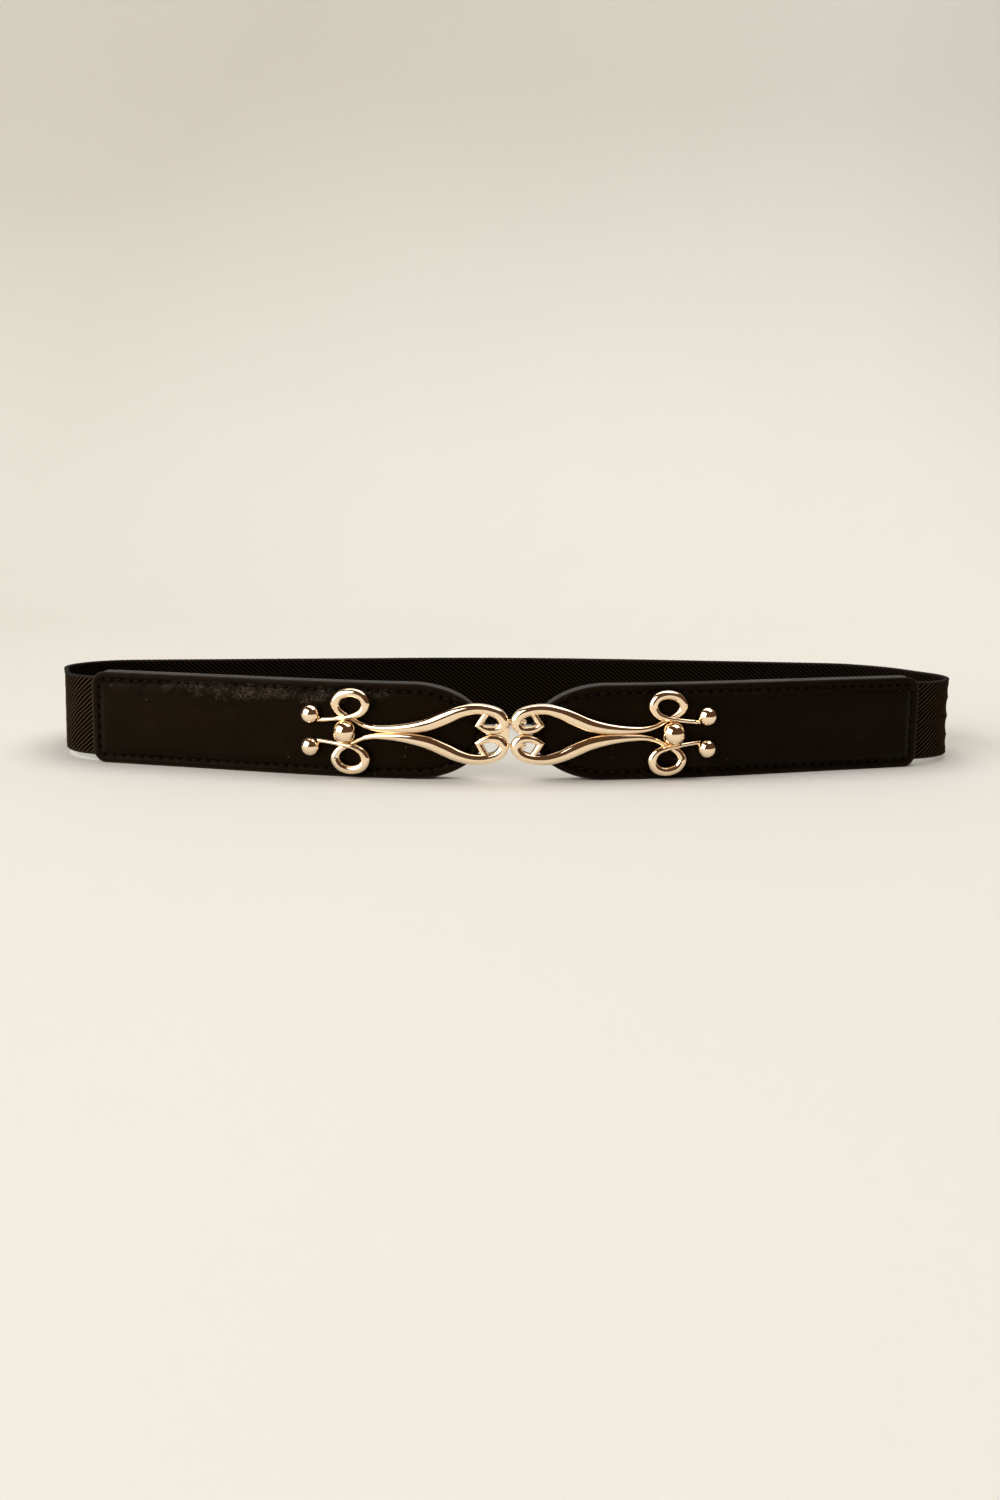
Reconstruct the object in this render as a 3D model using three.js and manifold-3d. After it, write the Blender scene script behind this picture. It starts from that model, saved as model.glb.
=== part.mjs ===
// Elastic stretch belt, fastened: a closed loop that stands on its lower edge. A woven elastic band goes
// round the back, and each of its ends is held between two leather layers. These carry the two halves of a
// scrolled metal buckle. Millimetres, +Z up, the buckle at the front on the -Y side. The origin is the centre
// of the loop's box, on the surface that the belt stands on.

import * as THREE from "three";
import { mergeVertices } from "three/addons/utils/BufferGeometryUtils.js";
import Module from "manifold-3d";

const wasm = await Module();
wasm.setup();

// Loop, seen from above: the band's middle line
const LOOP_HALF_LENGTH = 155;
const LOOP_HALF_DEPTH = 49;
const FRONT_RADIUS = 330;
const FRONT_END_RADIUS = 20;
const BACK_END_RADIUS = 28;
const BACK_RADIUS = 500;
const LARGEST_ROUNDING = 0.49;
const LOOP_STEP = 7.5;
const SHORTEST_STEP = 1.5;

// Elastic band
const BAND_HEIGHT = 26;
const BAND_THICKNESS = 1.4;
const BAND_REACH_INTO_TAB = 66;
const BAND_SETTLES_OVER = 70;

// Leather tabs
const TAB_LENGTH = 137;
const TAB_HEIGHT = 30;
const TAB_TIP_GAP = 7.2;
const TAB_NOSE_LENGTH = 23.3;
const TAB_CORNER_RADIUS = 4.5;
const LEATHER_THICKNESS = 2.2;
const SEAM_INSET = 2.6;
const SEAM_SOFTNESS = 0.4;
const POCKET_SLOPE = 2.6;
const POCKET_EDGE_MARGIN = 0.9;
const POCKET_EDGE_SLOPE = 0.4;
const TIP_FULLNESS = 0.25;
const FULLNESS_STARTS_AFTER = 16;
const HOLE_CUTTER_REACH = 12;

// Buckle, measured along the band from the joint between its halves and up from its axis
const BUCKLE_HALF_LENGTH = 63.6;
const BUCKLE_HALF_HEIGHT = 13.3;
const RIBBON_WIDTH = 4.4;
const RIBBON_RISE = 2.8;
const SMALL_KNOB_RADIUS = 3;
const LARGE_KNOB_RADIUS = 3.6;
const KNOB_SINK_SHARE = 0.45;

// Posts that hold a buckle half on its tab, and the hooks behind the joint
const POST_RADIUS = 1.2;
const POST_HEAD_RADIUS = 2.8;
const POST_HEAD_THICKNESS = 1;
const POST_SHARES = [0.79, 0.48];
const POST_ROOT_DEPTH = 1;
const HOOK_THICKNESS = 1;
const HOOK_HEIGHT = 1.2;
const HOOK_ROOT_LENGTH = 2.6;
const HOOK_TIP_RISE = 1;
const JOINT_PLATE_HALF_HEIGHT = 3.2;
const JOINT_PLATE_LENGTH = 4.2;

const CLEARANCE = 0.3;
const ROUND_SIDES = 12;
const KNOB_RING_ANGLE = Math.PI / 8;

// Corners of the plan, counter-clockwise from the buckle joint. x and y are shares of LOOP_HALF_LENGTH and
// LOOP_HALF_DEPTH, and each corner is rounded by its radius.
const PLAN_CORNERS = [
  { x: 0, y: -1.0, radius: FRONT_RADIUS },
  { x: 1.025, y: -0.27, radius: FRONT_END_RADIUS },
  { x: 0.9, y: 0.76, radius: BACK_END_RADIUS },
  { x: 0.04, y: 1.02, radius: BACK_RADIUS },
  { x: -1.04, y: 0.68, radius: BACK_END_RADIUS },
  { x: -0.93, y: -0.3, radius: FRONT_END_RADIUS },
];

// Rows of a tab's surface: shares of TAB_NOSE_LENGTH from its tip, and of TAB_CORNER_RADIUS at its other end
const NOSE_STEPS = [0.012, 0.06, 0.15, 0.28, 0.44, 0.62, 0.81];
const CORNER_STEPS = [0, 0.35, 0.65, 0.87, 1];

// One scroll of a buckle half. along is a share of BUCKLE_HALF_LENGTH from the joint, up a share of
// BUCKLE_HALF_HEIGHT from the axis, wide a share of RIBBON_WIDTH, and rise a share of RIBBON_RISE.
const RIBBON_ROWS = [
  { along: 0.77, up: 0.33, wide: 0.34, rise: 0.5 },
  { along: 0.708, up: 0.165, wide: 0.36, rise: 0.6 },
  { along: 0.65, up: 0.1, wide: 0.45, rise: 0.72 },
  { along: 0.58, up: 0.092, wide: 0.56, rise: 0.82 },
  { along: 0.51, up: 0.11, wide: 0.7, rise: 0.92 },
  { along: 0.445, up: 0.15, wide: 0.86, rise: 1 },
  { along: 0.378, up: 0.228, wide: 0.96, rise: 1 },
  { along: 0.31, up: 0.365, wide: 1, rise: 1 },
  { along: 0.243, up: 0.505, wide: 0.88, rise: 1 },
  { along: 0.173, up: 0.585, wide: 0.76, rise: 0.96 },
  { along: 0.105, up: 0.57, wide: 0.7, rise: 0.92 },
  { along: 0.05, up: 0.465, wide: 0.74, rise: 0.9 },
  { along: 0.029, up: 0.285, wide: 0.74, rise: 0.88 },
  { along: 0.047, up: 0.135, wide: 0.66, rise: 0.84 },
  { along: 0.088, up: 0.095, wide: 0.56, rise: 0.8 },
  { along: 0.13, up: 0.14, wide: 0.52, rise: 0.78 },
  { along: 0.168, up: 0.205, wide: 0.14, rise: 0.7 },
];
const CURL_RETURN_ROWS = [
  { along: 0.168, up: 0.2, wide: 0.14, rise: 0.7 },
  { along: 0.142, up: 0.31, wide: 0.48, rise: 0.74 },
  { along: 0.112, up: 0.48, wide: 0.42, rise: 0.74 },
];
const LOOP_RISING_ROWS = [
  { along: 0.72, up: 0.19, wide: 0.34, rise: 0.5 },
  { along: 0.775, up: 0.335, wide: 0.38, rise: 0.55 },
  { along: 0.823, up: 0.47, wide: 0.56, rise: 0.75 },
  { along: 0.84, up: 0.65, wide: 0.7, rise: 0.9 },
];
const LOOP_FALLING_ROWS = [
  { along: 0.839, up: 0.63, wide: 0.7, rise: 0.9 },
  { along: 0.815, up: 0.83, wide: 0.68, rise: 0.9 },
  { along: 0.762, up: 0.895, wide: 0.64, rise: 0.9 },
  { along: 0.71, up: 0.83, wide: 0.68, rise: 0.9 },
  { along: 0.69, up: 0.645, wide: 0.7, rise: 0.9 },
  { along: 0.71, up: 0.46, wide: 0.6, rise: 0.9 },
  { along: 0.755, up: 0.36, wide: 0.46, rise: 0.86 },
  { along: 0.815, up: 0.305, wide: 0.38, rise: 0.7 },
  { along: 0.88, up: 0.262, wide: 0.34, rise: 0.62 },
  { along: 0.94, up: 0.235, wide: 0.34, rise: 0.6 },
];
const RIBBON_STEPS = 40;
const CURL_RETURN_STEPS = 4;
const LOOP_RISING_STEPS = 6;
const LOOP_FALLING_STEPS = 20;
const SMALL_KNOB_PLACE = { along: 0.96, up: 0.38 };
const LARGE_KNOB_PLACE = { along: 0.79, up: 0 };
const HOOK_PLACE = RIBBON_ROWS.reduce((nearest, row) => (row.along < nearest.along ? row : nearest));

// Section of a ribbon: across is a share of its width, out a share of its rise.
const RIBBON_SECTION = [
  { across: -0.5, out: 0 },
  { across: -0.5, out: 0.5 },
  { across: -0.27, out: 1 },
  { across: 0.27, out: 1 },
  { across: 0.5, out: 0.5 },
  { across: 0.5, out: 0 },
];

const ELASTIC = new THREE.MeshStandardMaterial({ color: 0x1b1715, roughness: 0.95, metalness: 0 });
const LEATHER = new THREE.MeshStandardMaterial({ color: 0x17110f, roughness: 0.45, metalness: 0 });
const GOLD = new THREE.MeshStandardMaterial({ color: 0xedd0a0, roughness: 0.12, metalness: 1 });

// The rounded plan as lines and arcs. It starts in the middle of the first corner's arc, so distance 0 along
// it is the buckle joint, and positive distances go towards the +X end.
function makePlan() {
  const corners = PLAN_CORNERS.map((corner) => ({
    point: new THREE.Vector2(corner.x * LOOP_HALF_LENGTH, corner.y * LOOP_HALF_DEPTH),
    radius: corner.radius,
  }));
  const count = corners.length;
  const rounded = corners.map(({ point, radius }, i) => {
    const before = point.clone().sub(corners[(i + count - 1) % count].point);
    const after = corners[(i + 1) % count].point.clone().sub(point);
    const turn = Math.atan2(before.cross(after), before.dot(after));
    const room = LARGEST_ROUNDING * Math.min(before.length(), after.length());
    const tangent = Math.min(radius * Math.tan(turn / 2), room);
    const arcRadius = tangent / Math.tan(turn / 2);
    const start = point.clone().addScaledVector(before.normalize(), -tangent);
    const end = point.clone().addScaledVector(after.normalize(), tangent);
    const centre = start.clone().add(new THREE.Vector2(-before.y, before.x).multiplyScalar(arcRadius));
    const from = Math.atan2(start.y - centre.y, start.x - centre.x);
    return { start, end, centre, arcRadius, turn, from };
  });
  const arc = ({ centre, arcRadius, from, turn }, share0, share1) => ({
    centre,
    arcRadius,
    from: from + turn * share0,
    length: arcRadius * turn * (share1 - share0),
  });
  const pieces = [arc(rounded[0], 0.5, 1)];
  rounded.forEach((corner, i) => {
    const next = rounded[(i + 1) % count];
    const way = next.start.clone().sub(corner.end);
    pieces.push({ start: corner.end, length: way.length(), way: way.normalize() });
    pieces.push(i + 1 < count ? arc(next, 0, 1) : arc(next, 0, 0.5));
  });
  return pieces;
}

const PLAN = makePlan();
const LOOP_LENGTH = PLAN.reduce((sum, piece) => sum + piece.length, 0);

// Point and outward direction of the middle line at a distance along it
function alongPlan(distance) {
  let rest = ((distance % LOOP_LENGTH) + LOOP_LENGTH) % LOOP_LENGTH;
  const piece = PLAN.find((each) => {
    if (rest <= each.length) return true;
    rest -= each.length;
    return false;
  });
  const found = piece ?? PLAN[PLAN.length - 1];
  if (found.way) {
    const point = found.start.clone().addScaledVector(found.way, rest);
    return { point, out: new THREE.Vector2(found.way.y, -found.way.x) };
  }
  const angle = found.from + rest / found.arcRadius;
  const out = new THREE.Vector2(Math.cos(angle), Math.sin(angle));
  return { point: found.centre.clone().addScaledVector(out, found.arcRadius), out };
}

// The same on the bent line that every layer follows. It bends at steps counted from the joint both ways, and
// is straight between them, so layers at different distances out keep their gaps.
function alongLoop(distance) {
  const signed = THREE.MathUtils.euclideanModulo(distance + LOOP_LENGTH / 2, LOOP_LENGTH) - LOOP_LENGTH / 2;
  const side = Math.sign(signed) || 1;
  const before = Math.floor(Math.abs(signed) / LOOP_STEP) * LOOP_STEP;
  const after = Math.min(before + LOOP_STEP, LOOP_LENGTH / 2);
  const share = (Math.abs(signed) - before) / (after - before);
  const from = alongPlan(side * before);
  const to = alongPlan(side * after);
  return { point: from.point.lerp(to.point, share), out: from.out.lerp(to.out, share) };
}

// A point given by its distance along the band, its distance out from the middle line, and its height
function place(along, out, height) {
  const line = alongLoop(along);
  return new THREE.Vector3(line.point.x + line.out.x * out, line.point.y + line.out.y * out, height);
}

// Moves a small rigid shape, modelled with X along the band, Y outwards and Z up, to its place on the band
function frameAt(along, out, height) {
  const line = alongLoop(along);
  const outward = new THREE.Vector3(line.out.x, line.out.y, 0).normalize();
  const up = new THREE.Vector3(0, 0, 1);
  const forward = new THREE.Vector3().crossVectors(up, outward);
  return new THREE.Matrix4().makeBasis(forward, outward, up).setPosition(place(along, out, height));
}

const smooth = (low, high, value) => THREE.MathUtils.smoothstep(value, low, high);

// A closed body through rings of equal count. Each ring lists one face of the section from end to end and
// then the other face back again, so that opposite points close the two ends.
function skin(rings) {
  const size = rings[0].length;
  const positions = rings.flat().flatMap((point) => [point.x, point.y, point.z]);
  const faces = [];
  for (let i = 0; i + 1 < rings.length; i += 1)
    for (let j = 0; j < size; j += 1) {
      const a = i * size + j;
      const b = i * size + ((j + 1) % size);
      faces.push(a, b, b + size, a, b + size, a + size);
    }
  const last = (rings.length - 1) * size;
  for (let j = 0; j + 1 < size / 2; j += 1) {
    const k = size - 1 - j;
    faces.push(j, k, j + 1, j + 1, k, k - 1);
    faces.push(last + j, last + j + 1, last + k, last + j + 1, last + k - 1, last + k);
  }
  const geometry = new THREE.BufferGeometry();
  geometry.setAttribute("position", new THREE.Float32BufferAttribute(positions, 3));
  return geometry.setIndex(faces);
}

// A solid from a closed geometry, turned round where its faces point inwards
function toSolid(geometry) {
  const bare = new THREE.BufferGeometry();
  bare.setAttribute("position", geometry.getAttribute("position"));
  bare.setIndex(geometry.getIndex());
  const merged = mergeVertices(bare, 1e-4);
  const vertProperties = new Float32Array(merged.attributes.position.array);
  const triVerts = new Uint32Array(merged.index.array);
  const corner = (k) => new THREE.Vector3().fromArray(vertProperties, 3 * triVerts[k]);
  let volume = 0;
  for (let k = 0; k < triVerts.length; k += 3)
    volume += corner(k).dot(corner(k + 1).cross(corner(k + 2)));
  if (volume < 0) triVerts.reverse();
  return new wasm.Manifold(new wasm.Mesh({ numProp: 3, vertProperties, triVerts }));
}

function toGeometry(solid) {
  const { vertProperties, triVerts } = solid.getMesh();
  const geometry = new THREE.BufferGeometry();
  geometry.setAttribute("position", new THREE.BufferAttribute(vertProperties, 3));
  return geometry.setIndex(new THREE.BufferAttribute(triVerts, 1));
}

function mesh(name, geometry, material) {
  const finished = geometry.index ? geometry.toNonIndexed() : geometry;
  finished.computeVertexNormals();
  const made = new THREE.Mesh(finished, material);
  made.name = name;
  return made;
}

// Values from low to high, no further apart than a step
function spread(low, high, step) {
  const count = Math.max(1, Math.ceil((high - low) / step));
  return Array.from({ length: count + 1 }, (_, i) => low + ((high - low) * i) / count);
}

// Distances from low to high by way of the loop's own steps, so that layers on it bend at the same places
function loopStations(low, high) {
  const first = Math.ceil((low + SHORTEST_STEP) / LOOP_STEP);
  const last = Math.floor((high - SHORTEST_STEP) / LOOP_STEP);
  const between = Array.from({ length: Math.max(0, last - first + 1) }, (_, i) => (first + i) * LOOP_STEP);
  return [low, ...between, high];
}

// The band's stations, the same from both of its ends
function bandStations(start) {
  const half = loopStations(start, LOOP_LENGTH / 2);
  const mirrored = half.slice(0, -1).map((along) => LOOP_LENGTH - along);
  return [...half, ...mirrored.reverse()];
}

// The elastic is centred in the tabs and comes down to the surface round the back.
function makeBand() {
  const start = TAB_LENGTH - BAND_REACH_INTO_TAB;
  const lift = (TAB_HEIGHT - BAND_HEIGHT) / 2;
  const rings = bandStations(start).map((along) => {
    const pastTab = Math.min(along, LOOP_LENGTH - along) - TAB_LENGTH;
    const low = lift * (1 - smooth(0, BAND_SETTLES_OVER, pastTab));
    const half = BAND_THICKNESS / 2;
    return [
      place(along, half, low),
      place(along, half, low + BAND_HEIGHT),
      place(along, -half, low + BAND_HEIGHT),
      place(along, -half, low),
    ];
  });
  return toGeometry(toSolid(skin(rings)));
}

// Half the height of a tab at a distance from the joint: a round nose, a straight run and rounded corners
function tabHalfHeight(along) {
  const half = TAB_HEIGHT / 2;
  const noseLeft = 1 - (along - TAB_TIP_GAP) / TAB_NOSE_LENGTH;
  if (noseLeft > 0) return half * Math.sqrt(Math.max(0, 1 - noseLeft * noseLeft));
  const cornerLeft = along - (TAB_LENGTH - TAB_CORNER_RADIUS);
  if (cornerLeft <= 0) return half;
  const drop = Math.sqrt(Math.max(0, TAB_CORNER_RADIUS ** 2 - cornerLeft ** 2));
  return half - TAB_CORNER_RADIUS + drop;
}

const HALF_GAP = CLEARANCE / 2;
const POCKET_DEPTH = BAND_THICKNESS / 2 + CLEARANCE - HALF_GAP;

// How far a tab's layer stands out over the band: all of it where the band is, and less towards the tip
function fullness(along) {
  const bandEnd = TAB_LENGTH - BAND_REACH_INTO_TAB;
  return THREE.MathUtils.lerp(TIP_FULLNESS, 1, smooth(FULLNESS_STARTS_AFTER, bandEnd - 2 * CLEARANCE, along));
}

// The outer face of a layer at its thickest, as a distance from the middle line
const tabFace = (along) => HALF_GAP + LEATHER_THICKNESS + POCKET_DEPTH * fullness(along);

// One leather layer, in front of the band or behind it. It lies flat along its sewn border and stands out
// inside it.
function makeLeather(side, layer) {
  const bandMargin = (TAB_HEIGHT - BAND_HEIGHT) / 2;
  const pocketEdge = bandMargin - CLEARANCE - POCKET_EDGE_MARGIN;
  const plumpFrom = SEAM_INSET + POCKET_SLOPE;
  const rows = [0, pocketEdge, SEAM_INSET - SEAM_SOFTNESS, SEAM_INSET + POCKET_SLOPE / 2, plumpFrom];
  const noseEnd = TAB_TIP_GAP + TAB_NOSE_LENGTH;
  const cornerStart = TAB_LENGTH - TAB_CORNER_RADIUS;
  const places = [
    ...NOSE_STEPS.map((share) => TAB_TIP_GAP + share * TAB_NOSE_LENGTH),
    ...loopStations(noseEnd, cornerStart - SEAM_INSET),
    ...CORNER_STEPS.map((share) => cornerStart + share * TAB_CORNER_RADIUS),
  ];
  const rings = places.map((along) => {
    const half = tabHalfHeight(along);
    const shrink = Math.min(1, half / (plumpFrom + SEAM_SOFTNESS));
    const fromEdge = rows.map((row) => row * shrink);
    const heights = [...fromEdge.map((e) => e - half), ...fromEdge.map((e) => half - e).reverse()];
    const fromEnd = TAB_LENGTH - along;
    const outer = heights.map((height) => {
      const inside = Math.min(half - Math.abs(height), fromEnd);
      const lift = smooth(SEAM_INSET - SEAM_SOFTNESS, plumpFrom, inside);
      const out = HALF_GAP + LEATHER_THICKNESS + POCKET_DEPTH * fullness(along) * lift;
      return place(side * along, layer * out, TAB_HEIGHT / 2 + height);
    });
    const inner = heights.map((height) => {
      const outline = along > TAB_LENGTH - BAND_REACH_INTO_TAB ? TAB_HEIGHT / 2 : half;
      const lift = smooth(pocketEdge - POCKET_EDGE_SLOPE, pocketEdge, outline - Math.abs(height));
      const out = HALF_GAP + POCKET_DEPTH * fullness(along) * lift;
      return place(side * along, layer * out, TAB_HEIGHT / 2 + height);
    });
    return [...outer, ...inner.reverse()];
  });
  let solid = toSolid(skin(rings));
  POST_SHARES.forEach((share) => {
    const along = side * share * BUCKLE_HALF_LENGTH;
    const cutter = makeRod(along, POST_RADIUS + CLEARANCE, -HOLE_CUTTER_REACH, HOLE_CUTTER_REACH);
    solid = solid.subtract(toSolid(cutter));
  });
  return toGeometry(solid);
}

// A round rod across the band, on the buckle's axis, from one distance out to another
function makeRod(along, radius, from, to) {
  const rod = new THREE.CylinderGeometry(radius, radius, to - from, ROUND_SIDES);
  rod.translate(0, (from + to) / 2, 0);
  return rod.applyMatrix4(frameAt(along, 0, TAB_HEIGHT / 2));
}

// The back of the buckle, clear of the fullest part of the tab
const BUCKLE_BACK = tabFace(TAB_LENGTH) + CLEARANCE;

// A ribbon of metal with a flat back and a domed front, swept along a smooth line through its rows
function makeRibbon(rows, steps, side, half) {
  const line = new THREE.CatmullRomCurve3(
    rows.map((row) => new THREE.Vector3(row.along * BUCKLE_HALF_LENGTH, row.up * BUCKLE_HALF_HEIGHT, 0)),
  );
  const sizes = new THREE.CatmullRomCurve3(
    rows.map((row) => new THREE.Vector3(row.wide * RIBBON_WIDTH, row.rise * RIBBON_RISE, 0)),
  );
  const rings = Array.from({ length: steps + 1 }, (_, i) => {
    const t = i / steps;
    const centre = line.getPoint(t);
    const way = line.getTangent(t);
    const size = sizes.getPoint(t);
    return RIBBON_SECTION.map(({ across, out }) => {
      const along = centre.x - way.y * across * size.x;
      const up = centre.y + way.x * across * size.x;
      return place(side * along, BUCKLE_BACK + out * size.y, TAB_HEIGHT / 2 + half * up);
    });
  });
  return toSolid(skin(rings));
}

// A round knob with a flat back, flush with the back of the buckle
function makeKnob({ along, up }, radius, side, half) {
  const rise = radius * (1 - KNOB_SINK_SHARE);
  const edge = Math.asin(rise / radius);
  const profile = [new THREE.Vector2(0, 0)];
  spread(-edge, Math.PI / 2, KNOB_RING_ANGLE).forEach((angle) => {
    profile.push(new THREE.Vector2(radius * Math.cos(angle), rise + radius * Math.sin(angle)));
  });
  profile[profile.length - 1].x = 0;
  const knob = new THREE.LatheGeometry(profile, ROUND_SIDES);
  const height = TAB_HEIGHT / 2 + half * up * BUCKLE_HALF_HEIGHT;
  return toSolid(knob.applyMatrix4(frameAt(side * along * BUCKLE_HALF_LENGTH, BUCKLE_BACK, height)));
}

// A post through the tab with a flat head on the inner face
function makePost(share, side) {
  const along = share * BUCKLE_HALF_LENGTH;
  const seat = -tabFace(along) - CLEARANCE;
  const middle = seat - POST_HEAD_THICKNESS / 2;
  const rod = toSolid(makeRod(side * along, POST_RADIUS, middle, BUCKLE_BACK + POST_ROOT_DEPTH));
  const head = toSolid(makeRod(side * along, POST_HEAD_RADIUS, seat - POST_HEAD_THICKNESS, seat));
  return rod.add(head);
}

// A hook behind the joint: it is rooted on the back of one half, passes behind the other half's curl and
// turns forward inside it.
function makeHook(side, half) {
  const strokeMiddle = HOOK_PLACE.along * BUCKLE_HALF_LENGTH;
  const strokeHalf = (HOOK_PLACE.wide * RIBBON_WIDTH) / 2;
  const tip = strokeMiddle + strokeHalf + 2 * CLEARANCE;
  const root = -(strokeMiddle + strokeHalf - CLEARANCE);
  const low = -CLEARANCE - HOOK_THICKNESS;
  const outline = new THREE.Shape();
  outline.moveTo(root, low);
  outline.lineTo(tip + HOOK_THICKNESS, low);
  outline.lineTo(tip + HOOK_THICKNESS, HOOK_TIP_RISE);
  outline.lineTo(tip, HOOK_TIP_RISE);
  outline.lineTo(tip, -CLEARANCE);
  outline.lineTo(root + HOOK_ROOT_LENGTH, -CLEARANCE);
  outline.lineTo(root + HOOK_ROOT_LENGTH, HOOK_TIP_RISE / 2);
  outline.lineTo(root, HOOK_TIP_RISE / 2);
  const hook = new THREE.ExtrudeGeometry(outline, { depth: HOOK_HEIGHT, bevelEnabled: false });
  hook.translate(0, 0, -HOOK_HEIGHT / 2);
  hook.scale(-side, 1, 1);
  const height = TAB_HEIGHT / 2 + half * HOOK_PLACE.up * BUCKLE_HALF_HEIGHT;
  return toSolid(hook.applyMatrix4(frameAt(0, BUCKLE_BACK, height)));
}

// A thin plate between the curls of one half, which closes that side of the window at the joint
function makeJointPlate(side) {
  const plate = new THREE.BoxGeometry(JOINT_PLATE_LENGTH, HOOK_THICKNESS, 2 * JOINT_PLATE_HALF_HEIGHT);
  plate.translate(side * (CLEARANCE / 2 + JOINT_PLATE_LENGTH / 2), HOOK_THICKNESS / 2, 0);
  return toSolid(plate.applyMatrix4(frameAt(0, BUCKLE_BACK, TAB_HEIGHT / 2)));
}

// Half of the buckle, cast in one: two mirrored scrolls, knobs and posts, and on one half the hooks and plate
function makeBuckleHalf(side, hooked) {
  const parts = [1, -1].flatMap((half) => [
    makeRibbon(RIBBON_ROWS, RIBBON_STEPS, side, half),
    makeRibbon(CURL_RETURN_ROWS, CURL_RETURN_STEPS, side, half),
    makeRibbon(LOOP_RISING_ROWS, LOOP_RISING_STEPS, side, half),
    makeRibbon(LOOP_FALLING_ROWS, LOOP_FALLING_STEPS, side, half),
    makeKnob(SMALL_KNOB_PLACE, SMALL_KNOB_RADIUS, side, half),
  ]);
  parts.push(makeKnob(LARGE_KNOB_PLACE, LARGE_KNOB_RADIUS, side, 1));
  POST_SHARES.forEach((share) => parts.push(makePost(share, side)));
  if (hooked) parts.push(makeHook(side, 1), makeHook(side, -1), makeJointPlate(side));
  return toGeometry(parts.reduce((whole, part) => whole.add(part)));
}

const LEFT = -1;
const RIGHT = 1;
const FRONT = 1;
const BACK = -1;

const loop = new THREE.Group();
loop.add(mesh("elastic_band", makeBand(), ELASTIC));
loop.add(mesh("left_front_leather", makeLeather(LEFT, FRONT), LEATHER));
loop.add(mesh("left_back_leather", makeLeather(LEFT, BACK), LEATHER));
loop.add(mesh("right_front_leather", makeLeather(RIGHT, FRONT), LEATHER));
loop.add(mesh("right_back_leather", makeLeather(RIGHT, BACK), LEATHER));
loop.add(mesh("left_buckle_half", makeBuckleHalf(LEFT, true), GOLD));
loop.add(mesh("right_buckle_half", makeBuckleHalf(RIGHT, false), GOLD));

const box = new THREE.Box3().setFromObject(loop);
const middle = box.getCenter(new THREE.Vector3());
loop.position.set(-middle.x, -middle.y, -box.min.z);

const belt = new THREE.Group();
belt.add(loop);

export default belt;
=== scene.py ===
"""Looks of an elastic stretch belt, fastened and standing on its lower edge.

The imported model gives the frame. This script dresses it with a twill elastic, sewn leather tabs with sealed
edges and a polished scroll buckle, and sets up a plain pale studio. Sizes are in millimetres unless a name
or a docstring says otherwise, and every finished mesh is in metres.
"""

import logging
import math
from dataclasses import dataclass, field
from enum import Enum
from typing import Any, Optional, Sequence, Union

import bpy
import numpy as np
from mathutils import Matrix, Vector

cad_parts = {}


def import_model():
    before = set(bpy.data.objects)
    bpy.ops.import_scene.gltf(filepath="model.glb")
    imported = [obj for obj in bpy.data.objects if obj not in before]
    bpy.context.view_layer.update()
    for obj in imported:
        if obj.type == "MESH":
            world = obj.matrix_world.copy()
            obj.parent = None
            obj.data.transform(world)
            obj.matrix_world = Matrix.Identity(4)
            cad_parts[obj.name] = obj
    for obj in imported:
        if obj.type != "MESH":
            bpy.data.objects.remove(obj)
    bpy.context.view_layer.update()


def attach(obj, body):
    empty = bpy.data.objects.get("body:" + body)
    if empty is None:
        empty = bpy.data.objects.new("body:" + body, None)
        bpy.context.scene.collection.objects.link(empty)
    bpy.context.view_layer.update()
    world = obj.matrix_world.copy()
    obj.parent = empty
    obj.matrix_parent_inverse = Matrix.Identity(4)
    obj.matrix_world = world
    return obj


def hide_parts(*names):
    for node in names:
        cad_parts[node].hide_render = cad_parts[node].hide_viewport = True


MM = 0.001
MM_IN_A_METRE = 1000.0
FULL_TURN = 2 * math.pi
ROOT = "root"
SURFACE_MAP = "Surface"
LOG = logging.getLogger("belt")

Array = np.ndarray
Piece = bpy.types.Object
Material = bpy.types.Material
Socket = bpy.types.NodeSocket
Pair = tuple[float, float]
Triple = tuple[float, float, float]
Tint = tuple[float, float, float, float]
Term = Union["Varying", int, float]


class Side(Enum):
    """The belt's two tabs, as seen from the front. The value is the sign of the distance from the joint."""

    LEFT = -1
    RIGHT = 1


class Layer(Enum):
    """The two leather layers of a tab. The value is the sign of the distance out from the elastic."""

    FRONT = 1
    BACK = -1


def smooth_step(low: float, high: float, value: Array) -> Array:
    """Rises from 0 at low to 1 at high without a corner."""
    share = np.clip((np.asarray(value, dtype=float) - low) / (high - low), 0.0, 1.0)
    return share * share * (3.0 - 2.0 * share)


@dataclass(frozen=True)
class PlanCorner:
    """A corner of the loop seen from above: shares of its half length and half depth, and its rounding."""

    x: float
    y: float
    radius: float


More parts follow.
